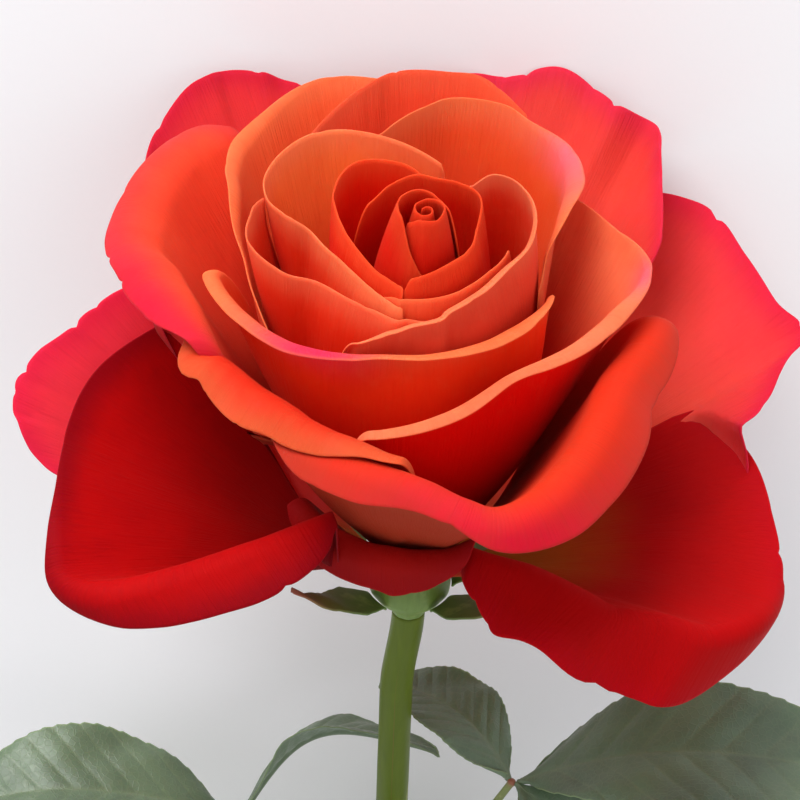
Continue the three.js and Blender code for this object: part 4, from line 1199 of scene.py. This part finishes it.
class ROSE_OT_leaf_stalks(bpy.types.Operator):
    """Build the stalks that carry the leaflets"""

    bl_idname = "rose.leaf_stalks"
    bl_label = "Leaf stalks"

    def execute(self, context):
        colour = context.scene.rose_greens.stalk
        material = plant_material("stalk_skin", colour, "69763c", "b5b47a", 24.0, 0.45, "8c5236")
        for name, leaf in LEAVES.items():
            grid, joint = stalk_grid(leaf)
            points, faces = closed_rings(grid)
            around = grid.shape[1]
            ring = np.minimum(ring_numbers(points, around), len(grid) - 1)
            uv = ring_uv(points, around, len(grid))
            marks = columns_of(joint[ring], 0.0, 0.0)
            node = name + "_rachis"
            make_piece(node + "_fine", points, faces, node, material, uv, marks)
        return {"FINISHED"}


class ROSE_OT_leaflets(bpy.types.Operator):
    """Build the serrate leaflets of both leaves"""

    bl_idname = "rose.leaflets"
    bl_label = "Leaflets"

    def execute(self, context):
        material = leaf_material("leaf_blade", context.scene.rose_greens)
        for order, (name, leaf) in enumerate(LEAVES.items()):
            stalk = leaf_points(leaf)
            for k, spec in enumerate(leaf["leaflets"]):
                tip, face = np.asarray(spec["tip"], float), np.asarray(spec["face"], float)
                joint = stalk[spec["at"] + 1]
                foot = joint + unit(tip - joint) * (RACHIS_RADIUS * 0.8)
                width = LEAFLET_WIDTH * spec["wide"]
                seed = LEAFLET_SEED + 50 * order + 5 * k
                grid, quilt, rib = leaflet_grid(foot, tip, face, width, spec["arch"], seed)
                to_edge = np.minimum(*edge_distances(grid))
                thickness = LEAF_THICKNESS * (0.6 + 0.4 * smooth_step(to_edge / 2) + 1.6 * rib)
                points, faces, i, j, side = sheet(grid, thickness)
                vein = np.maximum(np.exp(-(quilt / 0.22) ** 2) * 0.8, rib)
                uv = columns_of(i / (len(grid) - 1), j / (grid.shape[1] - 1))
                marks = columns_of(side, np.minimum(to_edge[i, j] / LEAF_EDGE, 1), vein[i, j])
                node = f"{name}_leaflet_{k + 1}"
                make_piece(node + "_fine", points, faces, node, material, uv, marks)
        return {"FINISHED"}


class ROSE_OT_stage(bpy.types.Operator):
    """Set up the pale floor, the soft lights and the camera"""

    bl_idname = "rose.stage"
    bl_label = "Stage"

    def execute(self, context):
        settings = context.scene.rose_stage
        self.floor(context, settings)
        self.camera(context, settings)
        self.lights(context, settings)
        return {"FINISHED"}

    def floor(self, context, settings):
        """A square of matt paper with a fine grain."""
        mat = Recipe("floor_paper", Specular_IOR_Level=0.25)
        grain = mat.noise(mat.coordinates(), 900.0, 3.0, 0.6)
        shaded = scaled(settings.floor, FLOOR_GRAIN, FLOOR_GRAIN, FLOOR_GRAIN)
        mat.set(Base_Color=mat.mix(grain * 0.12, opaque(settings.floor), shaded), Roughness=0.7)
        mat.relief(grain, 0.00005, 0.4)
        half = FLOOR_HALF
        corners = [(-half, -half, 0), (half, -half, 0), (half, half, 0), (-half, half, 0)]
        mesh = bpy.data.meshes.new("floor")
        mesh.from_pydata(corners, [], [(0, 1, 2, 3)])
        mesh.materials.append(mat.material)
        floor = bpy.data.objects.new("floor", mesh)
        context.scene.collection.objects.link(floor)

    def camera(self, context, settings):
        """A camera in front of the bloom, raised by its elevation above the bloom's own level."""
        cos_e, sin_e = math.cos(settings.elevation), math.sin(settings.elevation)
        cos_l, sin_l = math.cos(settings.lean), math.sin(settings.lean)
        back = turn_down((0, -cos_e, sin_e))
        level, rise = turn_down((1, 0, 0)), turn_down((0, sin_e, cos_e))
        up = rise * cos_l - level * sin_l
        right = level * cos_l + rise * sin_l
        aim = Vector(lay_down([0, 0, 0])) - right * AIM_LEFT * MM + up * AIM_UP * MM
        data = bpy.data.cameras.new("camera")
        data.lens = settings.lens
        data.clip_start = 0.01
        camera = bpy.data.objects.new("camera", data)
        context.scene.collection.objects.link(camera)
        turn = Matrix((right, up, back)).transposed().to_4x4()
        camera.matrix_world = Matrix.Translation(aim + back * settings.distance) @ turn
        context.scene.camera = camera

    def lights(self, context, settings):
        """An even pale sky, and a round area light for each of LIGHTS."""
        context.scene.view_settings.view_transform = "Standard"
        world = bpy.data.worlds.new("studio")
        world.use_nodes = True
        sky = world.node_tree.nodes["Background"]
        sky.inputs["Color"].default_value = SKY
        sky.inputs["Strength"].default_value = settings.sky
        context.scene.world = world
        target = Vector(lay_down(LIT_POINT))
        for name, direction, distance, size, power in LIGHTS:
            data = bpy.data.lights.new(name, "AREA")
            data.shape = "DISK"
            data.size = size
            data.energy = power
            light = bpy.data.objects.new(name, data)
            context.scene.collection.objects.link(light)
            aim = turn_down(direction).normalized()
            light.location = target + aim * distance
            light.rotation_euler = aim.to_track_quat("Z", "Y").to_euler()


class ROSE_PT_panel(bpy.types.Panel):
    """The rose's pieces and their settings"""

    bl_idname = "ROSE_PT_panel"
    bl_label = "Cut Rose"
    bl_space_type = "VIEW_3D"
    bl_region_type = "UI"
    bl_category = "Rose"

    def draw(self, context):
        for group in GROUPS:
            box = self.layout.box()
            settings = getattr(context.scene, group)
            for key in settings.__annotations__:
                box.prop(settings, key)
        for piece in PIECES:
            self.layout.operator(piece.bl_idname)


PIECES = (ROSE_OT_petals, ROSE_OT_hip, ROSE_OT_sepals, ROSE_OT_stem, ROSE_OT_prickles,
          ROSE_OT_leaf_stalks, ROSE_OT_leaflets, ROSE_OT_stage)
GROUPS = {"rose_petals": PetalSettings, "rose_greens": GreenSettings, "rose_stage": StageSettings}


def register():
    for kind in (*GROUPS.values(), *PIECES, ROSE_PT_panel):
        bpy.utils.register_class(kind)
    for name, kind in GROUPS.items():
        setattr(bpy.types.Scene, name, bpy.props.PointerProperty(type=kind))


def unregister():
    for name in GROUPS:
        delattr(bpy.types.Scene, name)
    for kind in reversed((*GROUPS.values(), *PIECES, ROSE_PT_panel)):
        bpy.utils.unregister_class(kind)


def main():
    """Build the stage and the rose."""
    register()
    bpy.ops.rose.stage()
    bpy.ops.rose.petals()
    bpy.ops.rose.hip()
    bpy.ops.rose.sepals()
    bpy.ops.rose.stem()
    bpy.ops.rose.prickles()
    bpy.ops.rose.leaf_stalks()
    bpy.ops.rose.leaflets()


if __name__ == "__main__":
    main()
